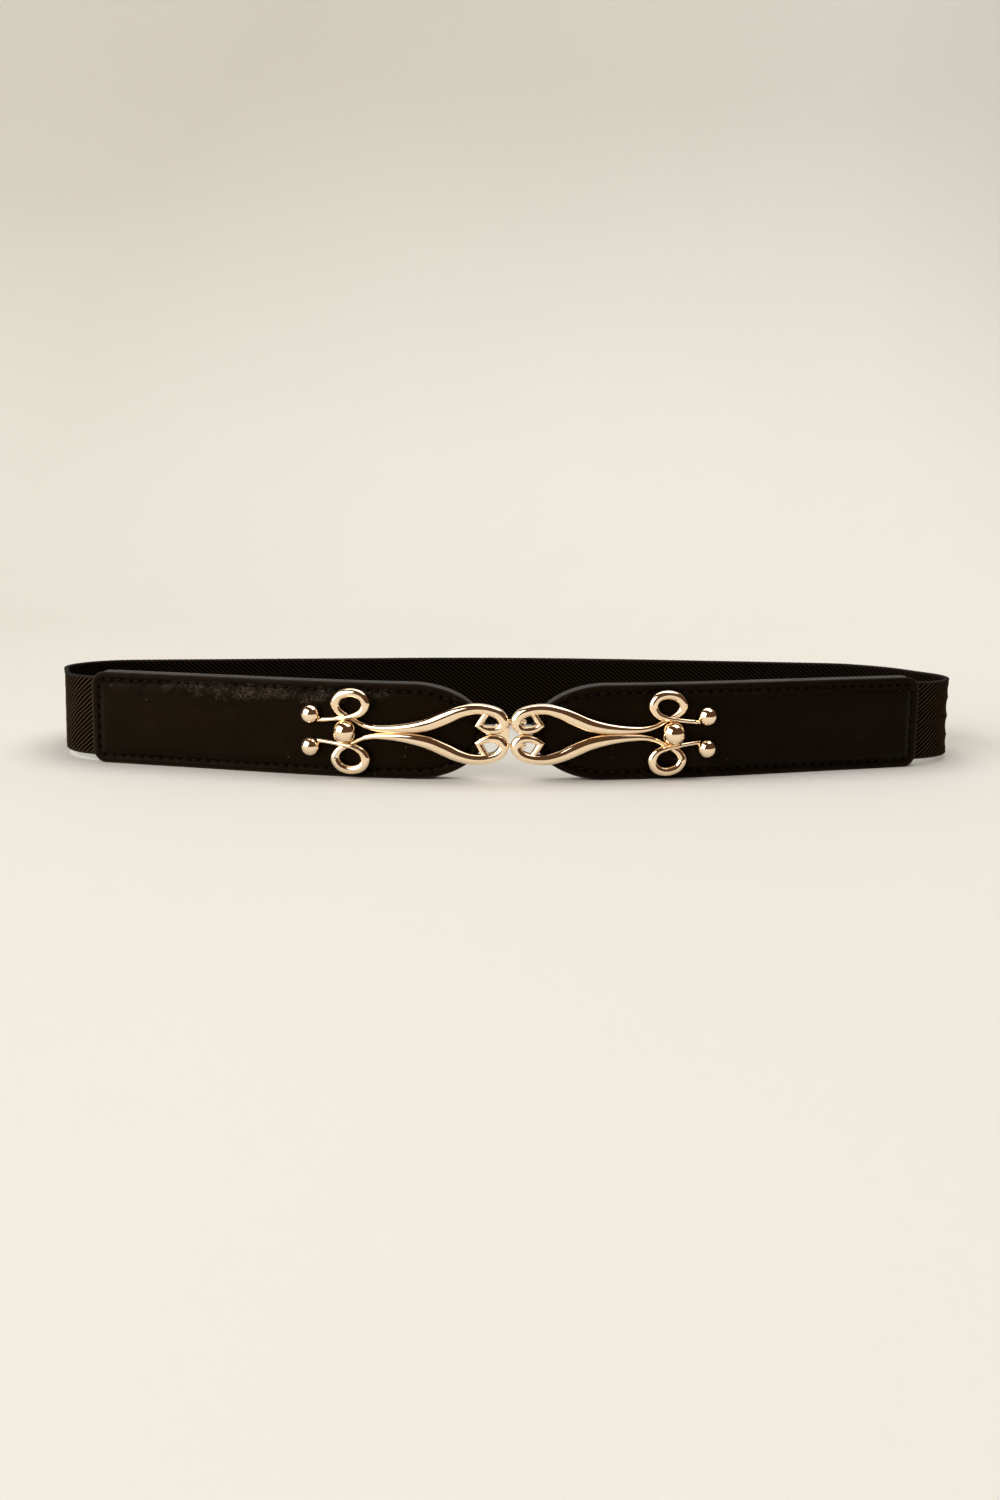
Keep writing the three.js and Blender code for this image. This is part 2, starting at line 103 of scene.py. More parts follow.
@dataclass
class LoopLine:
    """The elastic's middle line seen from above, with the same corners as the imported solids."""

    half_length: float = 155.0
    half_depth: float = 49.0
    largest_rounding: float = 0.49
    shift: Pair = (0.966, -0.773)
    sample: float = 0.2
    corners: tuple[PlanCorner, ...] = (
        PlanCorner(0.0, -1.0, 330.0),
        PlanCorner(1.025, -0.27, 20.0),
        PlanCorner(0.9, 0.76, 28.0),
        PlanCorner(0.04, 1.02, 500.0),
        PlanCorner(-1.04, 0.68, 28.0),
        PlanCorner(-0.93, -0.3, 20.0),
    )
    length: float = field(init=False)
    _table: Array = field(init=False, repr=False)

    def __post_init__(self) -> None:
        """Traces the rounded plan once, from the buckle joint round to it again."""
        arcs = self._arcs()
        traced: list[Array] = []
        for number, (centre, start, turn) in enumerate(arcs + arcs[:1]):
            first = 0.5 if number == 0 else 0.0
            last = 0.5 if number == len(arcs) else 1.0
            radius = float(np.hypot(*(start - centre)))
            steps = max(2, int(radius * turn / self.sample))
            angles = math.atan2(*(start - centre)[::-1]) + turn * np.linspace(first, last, steps)
            out = np.stack([np.cos(angles), np.sin(angles)], -1)
            traced.append(np.concatenate([centre + out * radius, out], -1))
        table = np.concatenate(traced)
        distance = run_along(table[:, :2])
        self.length = float(distance[-1])
        self._table = np.concatenate([distance[:, None], table], -1)

    def _arcs(self) -> list[tuple[Array, Array, float]]:
        """Rounds the plan's corners.

        Returns:
            The centre, the start and the turn in radians of each corner's arc.
        """
        points = np.array([(c.x * self.half_length, c.y * self.half_depth) for c in self.corners])
        arcs = []
        for index, corner in enumerate(self.corners):
            before = points[index] - points[index - 1]
            after = points[(index + 1) % len(points)] - points[index]
            turn = math.atan2(before[0] * after[1] - before[1] * after[0], float(before @ after))
            room = self.largest_rounding * min(np.hypot(*before), np.hypot(*after))
            tangent = min(corner.radius * math.tan(turn / 2), room)
            radius = tangent / math.tan(turn / 2)
            way = before / np.hypot(*before)
            start = points[index] - way * tangent
            arcs.append((start + np.array([-way[1], way[0]]) * radius, start, turn))
        return arcs

    def place(self, along: Array, out: Array, height: Array) -> Array:
        """Points on or beside the band.

        Args:
            along: distances from the joint along the middle line.
            out: distances outwards from the middle line.
            height: heights above the surface.

        Returns:
            The points in metres, in the row frame, one row each.
        """
        along, out, height = np.broadcast_arrays(*(np.asarray(v, dtype=float) for v in (along, out, height)))
        distance = np.mod(along, self.length)
        x, y, out_x, out_y = (np.interp(distance, self._table[:, 0], self._table[:, k]) for k in (1, 2, 3, 4))
        scale = out / np.hypot(out_x, out_y)
        x, y = x + out_x * scale + self.shift[0], y + out_y * scale + self.shift[1]
        return np.stack([x, y, height], -1) * MM


def run_along(points: Array) -> Array:
    """Distances along a line of points, from its first point to each."""
    return np.concatenate([[0.0], np.cumsum(np.hypot(*np.diff(points, axis=0).T))])


def deselect_all() -> None:
    """Leaves nothing selected, so that an operator acts on one piece alone."""
    for each in bpy.context.selected_objects:
        each.select_set(False)


def pick(piece: Piece) -> None:
    """Selects one piece alone and makes it active.

    Args:
        piece: the piece to select.
    """
    deselect_all()
    piece.select_set(True)
    bpy.context.view_layer.objects.active = piece


def made() -> Piece:
    """The piece that the last operator made."""
    return bpy.context.view_layer.objects.active


def apply_modifier(piece: Piece, kind: str, **settings: Any) -> None:
    """Adds a modifier to a piece and applies it.

    Args:
        piece: the object to change.
        kind: the modifier's type, such as SOLIDIFY.
        settings: values for the modifier's own properties.
    """
    pick(piece)
    modifier = piece.modifiers.new(kind.title(), kind)
    for name, value in settings.items():
        setattr(modifier, name, value)
    bpy.ops.object.modifier_apply(modifier=modifier.name)


def tidy_mesh(piece: Piece, fill: bool = False) -> None:
    """Merges doubled points, optionally closes open ends, and turns the faces outwards.

    Args:
        piece: the object to tidy.
        fill: whether open ends get a face.
    """
    pick(piece)
    bpy.ops.object.mode_set(mode="EDIT")
    bpy.ops.mesh.select_all(action="SELECT")
    bpy.ops.mesh.remove_doubles(threshold=2e-6)
    if fill:
        bpy.ops.mesh.select_all(action="DESELECT")
        bpy.ops.mesh.select_non_manifold(
            use_wire=False, use_multi_face=False, use_non_contiguous=False, use_verts=False
        )
        bpy.ops.mesh.fill_holes(sides=0)
    bpy.ops.mesh.select_all(action="SELECT")
    bpy.ops.mesh.normals_make_consistent(inside=False)
    bpy.ops.object.mode_set(mode="OBJECT")


def shade(piece: Piece, angle: float) -> None:
    """Smooths a piece's shading, with edges sharper than an angle in degrees left crisp."""
    pick(piece)
    bpy.ops.object.shade_smooth_by_angle(angle=math.radians(angle))


def join(name: str, pieces: Sequence[Piece]) -> Piece:
    """Joins several meshes into one piece.

    Args:
        name: the joined piece's name.
        pieces: the meshes to join.

    Returns:
        The joined piece.
    """
    deselect_all()
    for piece in pieces:
        piece.select_set(True)
    bpy.context.view_layer.objects.active = pieces[0]
    bpy.ops.object.join()
    joined = made()
    joined.name = joined.data.name = name
    return joined


def wrapped_grid(
    name: str, points: Array, uvs: Optional[Array] = None, values: Optional[dict[str, Array]] = None
) -> Piece:
    """Shapes a grid primitive into a surface.

    Args:
        name: the piece's name.
        points: an array of columns by rows by 3, in metres.
        uvs: an array of columns by rows by 2, or None.
        values: numbers to store at each point, as named arrays of columns by rows.

    Returns:
        The new piece.
    """
    columns, rows = points.shape[:2]
    deselect_all()
    bpy.ops.mesh.primitive_grid_add(x_subdivisions=columns - 1, y_subdivisions=rows - 1, size=1.0)
    piece = made()
    piece.name = piece.data.name = name
    data = piece.data
    flat = read_points(data)
    column = np.rint((flat[:, 0] + 0.5) * (columns - 1)).astype(int)
    row = np.rint((flat[:, 1] + 0.5) * (rows - 1)).astype(int)
    data.vertices.foreach_set("co", points[column, row].ravel())
    while data.uv_layers:
        data.uv_layers.remove(data.uv_layers[0])
    if uvs is not None:
        layer = data.uv_layers.new(name=SURFACE_MAP)
        corner = np.empty(len(data.loops), dtype=int)
        data.loops.foreach_get("vertex_index", corner)
        layer.data.foreach_set("uv", uvs[column[corner], row[corner]].ravel())
    for key, numbers in (values or {}).items():
        stored = data.attributes.new(name=key, type="FLOAT", domain="POINT")
        stored.data.foreach_set("value", numbers[column, row].ravel())
    data.update()
    return piece


def read_points(data: bpy.types.Mesh) -> Array:
    """Reads a mesh's points.

    Args:
        data: the mesh.

    Returns:
        Their places, one row each.
    """
    flat = np.empty(len(data.vertices) * 3)
    data.vertices.foreach_get("co", flat)
    return flat.reshape(-1, 3)


def copies(name: str, template: Piece, frames: Array) -> Piece:
    """Joins many placed copies of a template, each with its own mesh.

    Args:
        name: the new piece's name.
        template: a small mesh, in its own axes. It is deleted.
        frames: one 3 by 4 matrix for each copy.

    Returns:
        The new piece.
    """
    placed = []
    for frame in frames:
        piece = template.copy()
        piece.data = template.data.copy()
        piece.data.transform(Matrix([*frame.tolist(), [0.0, 0.0, 0.0, 1.0]]))
        bpy.context.scene.collection.objects.link(piece)
        placed.append(piece)
    bpy.data.objects.remove(template, do_unlink=True)
    return join(name, placed)


class Varying:
    """A number that varies over a surface, as the output of a node. Arithmetic on it adds Math nodes."""

    def __init__(self, bench: "NodeBench", socket: Socket) -> None:
        """Wraps an output socket of a bench's material."""
        self.bench = bench
        self.socket = socket

    def math(self, operation: str, *others: Term, clamp: bool = False) -> "Varying":
        """Adds a Math node that takes this number first.

        Args:
            operation: the node's operation, such as SINE.
            others: the numbers after this one.
            clamp: whether the result is kept between 0 and 1.

        Returns:
            The node's result.
        """
        settings = {"operation": operation, "use_clamp": clamp}
        node = self.bench.node("ShaderNodeMath", settings, dict(enumerate((self, *others))))
        return Varying(self.bench, node.outputs[0])

    def _reflected(self, operation: str, first: float) -> "Varying":
        """The result of a Math node with a plain number first."""
        node = self.bench.node("ShaderNodeMath", {"operation": operation}, {0: first, 1: self})
        return Varying(self.bench, node.outputs[0])

    def __add__(self, other: Term) -> "Varying":
        """This plus another."""
        return self.math("ADD", other)

    def __sub__(self, other: Term) -> "Varying":
        """This less another."""
        return self.math("SUBTRACT", other)

    def __rsub__(self, other: float) -> "Varying":
        """A number less this."""
        return self._reflected("SUBTRACT", other)

    def __mul__(self, other: Term) -> "Varying":
        """This times another."""
        return self.math("MULTIPLY", other)

    def __truediv__(self, other: Term) -> "Varying":
        """This divided by another."""
        return self.math("DIVIDE", other)

    def __rtruediv__(self, other: float) -> "Varying":
        """A number divided by this."""
        return self._reflected("DIVIDE", other)

    def __pow__(self, other: Term) -> "Varying":
        """This raised to a power."""
        return self.math("POWER", other)

    __radd__ = __add__
    __rmul__ = __mul__

    def clamped(self) -> "Varying":
        """This, kept between 0 and 1."""
        return self.math("ADD", 0.0, clamp=True)

    def wave(self) -> "Varying":
        """A wave between 0 and 1 that peaks wherever this is whole."""
        return (self * FULL_TURN).math("COSINE") * 0.5 + 0.5

    def between(self, low: float, high: float) -> "Varying":
        """How far this has come from low to high.

        Args:
            low: where the result is 0.
            high: where the result is 1.

        Returns:
            The share from 0 to 1, eased at both ends.
        """
        sockets = {"Value": self, 1: low, 2: high}
        node = self.bench.node("ShaderNodeMapRange", {"interpolation_type": "SMOOTHSTEP"}, sockets)
        return Varying(self.bench, node.outputs[0])


class NodeBench:
    """Builds one material's nodes round a single surface shader."""

    def __init__(self, name: str) -> None:
        """Starts an empty material.

        Args:
            name: the material's name.
        """
        self.material = bpy.data.materials.new(name)
        self.material.use_nodes = True
        self.tree = self.material.node_tree
        self.tree.nodes.clear()
        self.output = self.tree.nodes.new("ShaderNodeOutputMaterial")

    def node(self, kind: str, settings: dict[str, Any], sockets: dict[Any, Any]) -> bpy.types.Node:
        """Adds a node.

        Args:
            kind: the node's type.
            settings: its own properties, set first.
            sockets: values or links for its inputs, by name or index.

        Returns:
            The node.
        """
        node = self.tree.nodes.new(kind)
        for name, value in settings.items():
            setattr(node, name, value)
        for key, value in sockets.items():
            socket = node.inputs[key]
            value = getattr(value, "socket", value)
            if isinstance(value, Socket):
                self.tree.links.new(value, socket)
            elif isinstance(value, tuple) and socket.type == "RGBA" and len(value) == 3:
                socket.default_value = (*value, 1.0)
            else:
                socket.default_value = value
        return node

    def parts(self, vector: Socket) -> tuple[Varying, ...]:
        """The three numbers of a vector."""
        node = self.node("ShaderNodeSeparateXYZ", {}, {0: vector})
        return tuple(Varying(self, node.outputs[k]) for k in range(3))

    def stored(self, name: str) -> Varying:
        """A number that the mesh stores at its points."""
        return Varying(self, self.node("ShaderNodeAttribute", {"attribute_name": name}, {}).outputs["Fac"])

    def object_place(self) -> Socket:
        """The surface point in the piece's own space, in metres."""
        return self.node("ShaderNodeTexCoord", {}, {}).outputs["Object"]

    def surface_place(self) -> tuple[Varying, Varying]:
        """Reads the piece's UV map.

        Returns:
            The distance along and the height, in millimetres.
        """
        uv = self.node("ShaderNodeUVMap", {"uv_map": SURFACE_MAP}, {})
        along, up, _ = self.parts(uv.outputs[0])
        return along * MM_IN_A_METRE, up * MM_IN_A_METRE

    def vector(self, x: Term, y: Term, z: Term = 0.0) -> Socket:
        """A vector of three numbers."""
        return self.node("ShaderNodeCombineXYZ", {}, {0: x, 1: y, 2: z}).outputs[0]

    def noise(self, place: Socket, scale: float, detail: float = 2.0, rough: float = 0.5) -> Varying:
        """Cloudy noise, from about 0.25 to 0.75."""
        sockets = {"Vector": place, "Scale": scale, "Detail": detail, "Roughness": rough}
        return Varying(self, self.node("ShaderNodeTexNoise", {}, sockets).outputs[0])

    def cells(self, place: Socket, scale: float) -> Varying:
        """Distance within a field of random cells."""
        node = self.node("ShaderNodeTexVoronoi", {"feature": "F1"}, {"Vector": place, "Scale": scale})
        return Varying(self, node.outputs["Distance"])

    def blend(self, share: Term, first: Any, second: Any) -> Socket:
        """A colour between two colours, by a share. The numbers are the Mix node's colour sockets."""
        return self.node("ShaderNodeMix", {"data_type": "RGBA"}, {0: share, 6: first, 7: second}).outputs[2]

    def bump(self, height: Varying, distance: float, strength: float) -> Socket:
        """A normal from a height whose full range is a distance in millimetres."""
        sockets = {"Height": height, "Distance": distance * MM, "Strength": strength}
        return self.node("ShaderNodeBump", {}, sockets).outputs[0]

    def surface(self, **sockets: Any) -> Material:
        """Finishes the material with a Principled shader.

        Args:
            sockets: the shader's inputs, with underscores for spaces.

        Returns:
            The material.
        """
        named = {key.replace("_", " "): value for key, value in sockets.items()}
        shader = self.node("ShaderNodeBsdfPrincipled", {}, named)
        self.tree.links.new(shader.outputs[0], self.output.inputs["Surface"])
        return self.material


@dataclass(frozen=True)
class TwillElastic:
    """Knitted elastic with slanting ribs, each built of small loops of yarn, with painted shade in the rib
    gaps and on its inner face.
    """

    inner_face_shade: float = 0.32
    rib_along: float = 1.9
    rib_up: float = 1.5
    rib_sharpness: float = 6.5
    loop_along: float = 0.62
    loop_slant: float = 1.6
    loop_depth: float = 0.16
    wander_scale: float = 0.35
    fuzz_scale: float = 3.2
    rib_colour: Triple = (0.105, 0.064, 0.035)
    gap_shade_colour: Triple = (0.0012, 0.0008, 0.0006)
    edge_colour: Triple = (0.05, 0.04, 0.033)
    edge_from: float = 0.8
    edge_full: float = 0.25
    shine: Tint = (1.0, 0.78, 0.6, 1.0)
    height: float = 26.0

    def build(self) -> Material:
        """Makes the material.

        Returns:
            The material.
        """
        bench = NodeBench("twill_elastic")
        along, up = bench.surface_place()
        place = bench.vector(along, up)
        wander = bench.noise(place, self.wander_scale, 2.0) - 0.5
        rib = (along / self.rib_along - up / self.rib_up + wander * 0.12).wave()
        loops = (along / self.loop_along + up / (self.loop_slant * self.loop_along) + wander * 0.8).wave()
        fuzz = bench.noise(place, self.fuzz_scale, 4.0, 0.65)
        relief = rib * loops * 0.7 + fuzz * 0.8
        # Painted light and shade: the rib crests are coloured lit and the gaps between them near black, as
        # shade in the hollows.
        painted_rib_light = rib**self.rib_sharpness * (loops * 0.4 + 0.6) * (fuzz * 1.9 + 0.1)
        # Painted shade: the inner face of the loop is darker, as the front tab shades it.
        light = bench.stored("outside") * (1.0 - self.inner_face_shade) + self.inner_face_shade
        body = bench.blend(painted_rib_light * light, self.gap_shade_colour, self.rib_colour)
        half = self.height / 2
        near_edge = (up - half).math("ABSOLUTE").between(half - self.edge_from, half - self.edge_full)
        edge = near_edge * (fuzz * 1.2 + 0.2)
        return bench.surface(
            Base_Color=bench.blend(edge.math("MINIMUM", 1.0), body, self.edge_colour),
            Roughness=0.92 - 0.14 * painted_rib_light,
            Specular_IOR_Level=0.03,
            Specular_Tint=self.shine,
            Normal=bench.bump(relief, self.loop_depth, 0.9),
        )


@dataclass(frozen=True)
class TabLeather:
    """Soft finished leather with a fine grain, creases by the seam, needle holes and small bright specks.
    Glints on the folds and specks, shade in the folds and holes, and a highlight by the cut edge are painted.
    """

    name: str
    crease: float
    base: Triple = (0.005, 0.0028, 0.0013)
    wear_and_fold_shade: Triple = (0.016, 0.0105, 0.0065)
    painted_glint: Triple = (0.24, 0.19, 0.145)
    hole: Triple = (0.0006, 0.0004, 0.0003)
    edge_paint_and_rim_light: Triple = (0.036, 0.031, 0.029)
    shine: Tint = (1.0, 0.68, 0.4, 1.0)
    tab_height: float = 30.0
    seam_inset: float = 2.6
    pitch: float = 3.3
    hole_radius: float = 0.62
    grain_scale: float = 1.7
    pore_scale: float = 4.3
    cloud_scale: float = 0.09
    patch_scale: float = 0.16
    fold_scale: float = 1.7
    speck_scale: float = 0.3
    sparse_scale: float = 0.05
    relief: float = 0.13

    def build(self) -> Material:
        """Makes the material.

        Returns:
            The material.
        """
        bench = NodeBench(self.name)
        along, up = bench.surface_place()
        place = bench.vector(along, up)
        grain, pores = bench.cells(place, self.grain_scale), bench.cells(place, self.pore_scale)
        cloud = bench.noise(place, self.cloud_scale, 3.0)
        creased, ridges = self._creases(bench, along, up, cloud)
        bright = self._specks(bench, along, up)
        inside = bench.stored("inside")
        hole = self._holes(bench, inside)
        border = 1.0 - inside.between(0.1, 1.3)
        # Painted shade: the hollows of the folds darken the colour, on top of the leather's own cloudy wear
        # tone.
        painted_fold_shade = ridges.between(0.15, 0.5) * 0.2
        tone = (cloud - 0.42) * 0.9 + border * 0.5 - painted_fold_shade + (0.3 - grain) * 0.25
        wear_and_fold_shade = bench.blend(tone.clamped(), self.base, self.wear_and_fold_shade)
        # Painted highlights: glints on the fold ridges and on the bright specks are mixed into the colour.
        painted_fold_glints = ridges.between(0.7, 0.98) * pores.between(0.4, 0.48) * 0.4
        painted_glint = (painted_fold_glints + bright).math("MULTIPLY", 0.8, clamp=True)
        glinting = bench.blend(painted_glint, wear_and_fold_shade, self.painted_glint)
        # Painted shade: the needle holes are coloured near black, as the shade inside them.
        pricked = bench.blend(hole * 0.9, glinting, self.hole)
        # Edge paint spills onto the face by the cut edge; its lighter grey is also a painted highlight where
        # the rounded rim catches light.
        painted = (1.0 - inside.between(0.15, 0.5)) * 0.75
        bumps = (0.55 - grain) * 0.55 + (0.4 - pores) * 0.15 + ridges * 1.2 + bright * 1.2 - hole * 3.0
        return bench.surface(
            Base_Color=bench.blend(painted, pricked, self.edge_paint_and_rim_light),
            Roughness=0.5 - cloud * 0.12 - creased * 0.04 + border * 0.1,
            Specular_IOR_Level=0.055,
            Specular_Tint=self.shine,
            Normal=bench.bump(bumps, self.relief, 0.8),
        )

    def _creases(
        self, bench: NodeBench, along: Varying, up: Varying, cloud: Varying
    ) -> tuple[Varying, Varying]:
        """Small folds, mostly in a strip below the upper seam.

        Args:
            bench: the material's bench.
            along: the distance from the joint.
            up: the height.
            cloud: broad noise that bends the folds.

        Returns:
            How creased the leather is, and how high the folds stand.
        """
        patch = bench.noise(bench.vector(along, up, 7.0), self.patch_scale, 2.0)
        near_seam = up.between(self.tab_height - 10.0, self.tab_height - 4.5)
        below_edge = 1.0 - up.between(self.tab_height - 2.4, self.tab_height - 0.8)
        strip = near_seam * below_edge * along.between(26.0, 44.0) * (1.0 - along.between(88.0, 132.0) * 0.75)
        scattered = patch.between(0.46, 0.6) * 0.4
        creased = (strip + scattered) * patch.between(0.25, 0.45) * self.crease
        bent = bench.vector(along * 0.55 + (cloud - 0.5) * 6.0, up + (patch - 0.5) * 5.0)
        folds = 1.0 - (bench.noise(bent, self.fold_scale, 4.0, 0.6) - 0.5).math("ABSOLUTE") * 8.0
        return creased, folds.math("MAXIMUM", 0.0) * creased

    def _specks(self, bench: NodeBench, along: Varying, up: Varying) -> Varying:
        """Small bright specks, in a few places, painted as glints.

        Args:
            bench: the material's bench.
            along: the distance from the joint.
            up: the height.

        Returns:
            A share that is 1 in a speck and 0 elsewhere.
        """
        specks = 1.0 - bench.cells(bench.vector(along, up, 3.0), self.speck_scale).between(0.025, 0.07)
        sparse = bench.noise(bench.vector(along, up, 11.0), self.sparse_scale, 1.0)
        return specks * sparse.between(0.47, 0.56) * self.crease

    def _holes(self, bench: NodeBench, inside: Varying) -> Varying:
        """The needle holes between the stitches, which the colour fills with painted shade.

        Args:
            bench: the material's bench.
            inside: the distance inside the cut edge.

        Returns:
            A share that is 1 in a hole and 0 elsewhere.
        """
        to_hole = (bench.stored("seam") + 0.5).math("FRACT") - 0.5
        along_seam = to_hole * (self.pitch / self.hole_radius)
        across_seam = (inside - self.seam_inset) / self.hole_radius
        distance = (across_seam * across_seam + along_seam * along_seam).math("SQRT")
        return 1.0 - distance.between(0.45, 1.0)


@dataclass(frozen=True)
class SealedEdge:
    """The cut edge of the leather, sealed with a grey-brown edge paint over its fibres."""

    base: Triple = (0.042, 0.036, 0.034)
    dark: Triple = (0.02, 0.017, 0.016)
    fibre_scale: float = 900.0
    patch_scale: float = 90.0

    def build(self) -> Material:
        """Makes the material.

        Returns:
            The material.
        """
        bench = NodeBench("sealed_edge")
        place = bench.object_place()
        fibres = bench.noise(place, self.fibre_scale, 4.0, 0.7)
        patches = bench.noise(place, self.patch_scale, 2.0)
        return bench.surface(
            Base_Color=bench.blend((fibres * 0.9 + patches * 0.9 - 0.4).clamped(), self.dark, self.base),
            Roughness=0.6 - 0.15 * patches,
            Specular_IOR_Level=0.25,
            Normal=bench.bump(fibres, 0.16, 0.6),
        )


@dataclass(frozen=True)
class WaxedThread:
    """Dark twisted sewing thread."""

    base: Triple = (0.003, 0.002, 0.0013)
    light: Triple = (0.02, 0.014, 0.01)
    twist_length: float = 0.42
    fuzz_scale: float = 1500.0

    def build(self) -> Material:
        """Makes the material.

        Returns:
            The material.
        """
        bench = NodeBench("waxed_thread")
        place = bench.object_place()
        x, _, z = bench.parts(place)
        twist = (x + z * 0.6) * (FULL_TURN / (self.twist_length * MM))
        strand = twist.math("SINE") * 0.5 + 0.5
        fuzz = bench.noise(place, self.fuzz_scale, 3.0)
        return bench.surface(
            Base_Color=bench.blend((strand * 0.7 + fuzz * 0.5 - 0.15).clamped(), self.base, self.light),
            Roughness=0.5 + 0.2 * fuzz,
            Specular_IOR_Level=0.07,
            Normal=bench.bump(strand + fuzz * 0.4, 0.06, 0.7),
        )


@dataclass(frozen=True)
class SelvedgeYarn:
    """The paler, hairier yarn along the elastic's two edges."""

    base: Triple = (0.045, 0.04, 0.034)
    dark: Triple = (0.007, 0.0055, 0.0045)
    turn_length: float = 1.07
    hair_scale: float = 1400.0

    def build(self) -> Material:
        """Makes the material.

        Returns:
            The material.
        """
        bench = NodeBench("selvedge_yarn")
        along, _ = bench.surface_place()
        turns = (along / self.turn_length).wave()
        hair = bench.noise(bench.object_place(), self.hair_scale, 4.0, 0.7)
        return bench.surface(
            Base_Color=bench.blend((turns * 0.6 + hair * 0.9 - 0.45).clamped(), self.dark, self.base),
            Roughness=0.95 - 0.1 * hair,
            Specular_IOR_Level=0.05,
            Normal=bench.bump(turns + hair, 0.14, 0.8),
        )


@dataclass(frozen=True)
class PaleGold:
    """Mirror-polished pale gold plating over a casting that ripples slightly."""

    base: Triple = (1.0, 0.805, 0.575)
    deep: Triple = (0.98, 0.715, 0.44)
    ripple_scale: float = 110.0
    handling_scale: float = 420.0
    scratch_scales: Triple = (260.0, 2600.0, 2600.0)
    relief: float = 0.035

    def build(self) -> Material:
        """Makes the material, with fine polishing marks drawn out along the belt.

        Returns:
            The material.
        """
        bench = NodeBench("pale_gold")
        place = bench.object_place()
        ripple = bench.noise(place, self.ripple_scale, 2.0)
        handling = bench.noise(place, self.handling_scale, 4.0, 0.6)
        stretched = bench.vector(*(c * scale for c, scale in zip(bench.parts(place), self.scratch_scales)))
        scratch = bench.noise(stretched, 1.0, 3.0, 0.6)
        return bench.surface(
            Base_Color=bench.blend(ripple.between(0.35, 0.75) * 0.35, self.base, self.deep),
            Metallic=1.0,
            Roughness=0.03 + 0.04 * handling + 0.02 * scratch,
            Normal=bench.bump(ripple + scratch * 0.05, self.relief, 0.35),
        )


@dataclass(frozen=True)
class StudioPaper:
    """Pale matt paper for the floor and the sweep behind it, with painted shade that darkens it to the left
    and higher up.
    """

    colour: Triple = (0.83, 0.82, 0.76)
    painted_light_factors: Triple = (1.1, 1.1, 1.1)
    painted_shade_factors: Triple = (0.74, 0.725, 0.68)

    def build(self) -> Material:
        """Makes the material.

        Returns:
            The material.
        """
        bench = NodeBench("studio_paper")
        place = bench.object_place()
        across, _, high = bench.parts(place)
        # Painted shade: the paper darkens to the left and higher up, where less light falls; the noise is its
        # own tone.
        leftward = (0.5 - across * 1.3).clamped()
        share = bench.noise(place, 5.0, 2.0) * 0.1 + leftward * 0.6 + high.between(0.03, 0.6) * 0.5
        lighter, darker = (
            tuple(factor * c for factor, c in zip(factors, self.colour))
            for factors in (self.painted_light_factors, self.painted_shade_factors)
        )
        colour = bench.blend(share.clamped(), lighter, darker)
        return bench.surface(Base_Color=colour, Roughness=0.85, Specular_IOR_Level=0.2)


_FINISHES: dict[Any, Material] = {}


def shared(finish: Any) -> Material:
    """Makes a finish's material once for all the pieces that have it.

    Args:
        finish: the finish.

    Returns:
        Its material.
    """
    if finish not in _FINISHES:
        _FINISHES[finish] = finish.build()
    return _FINISHES[finish]


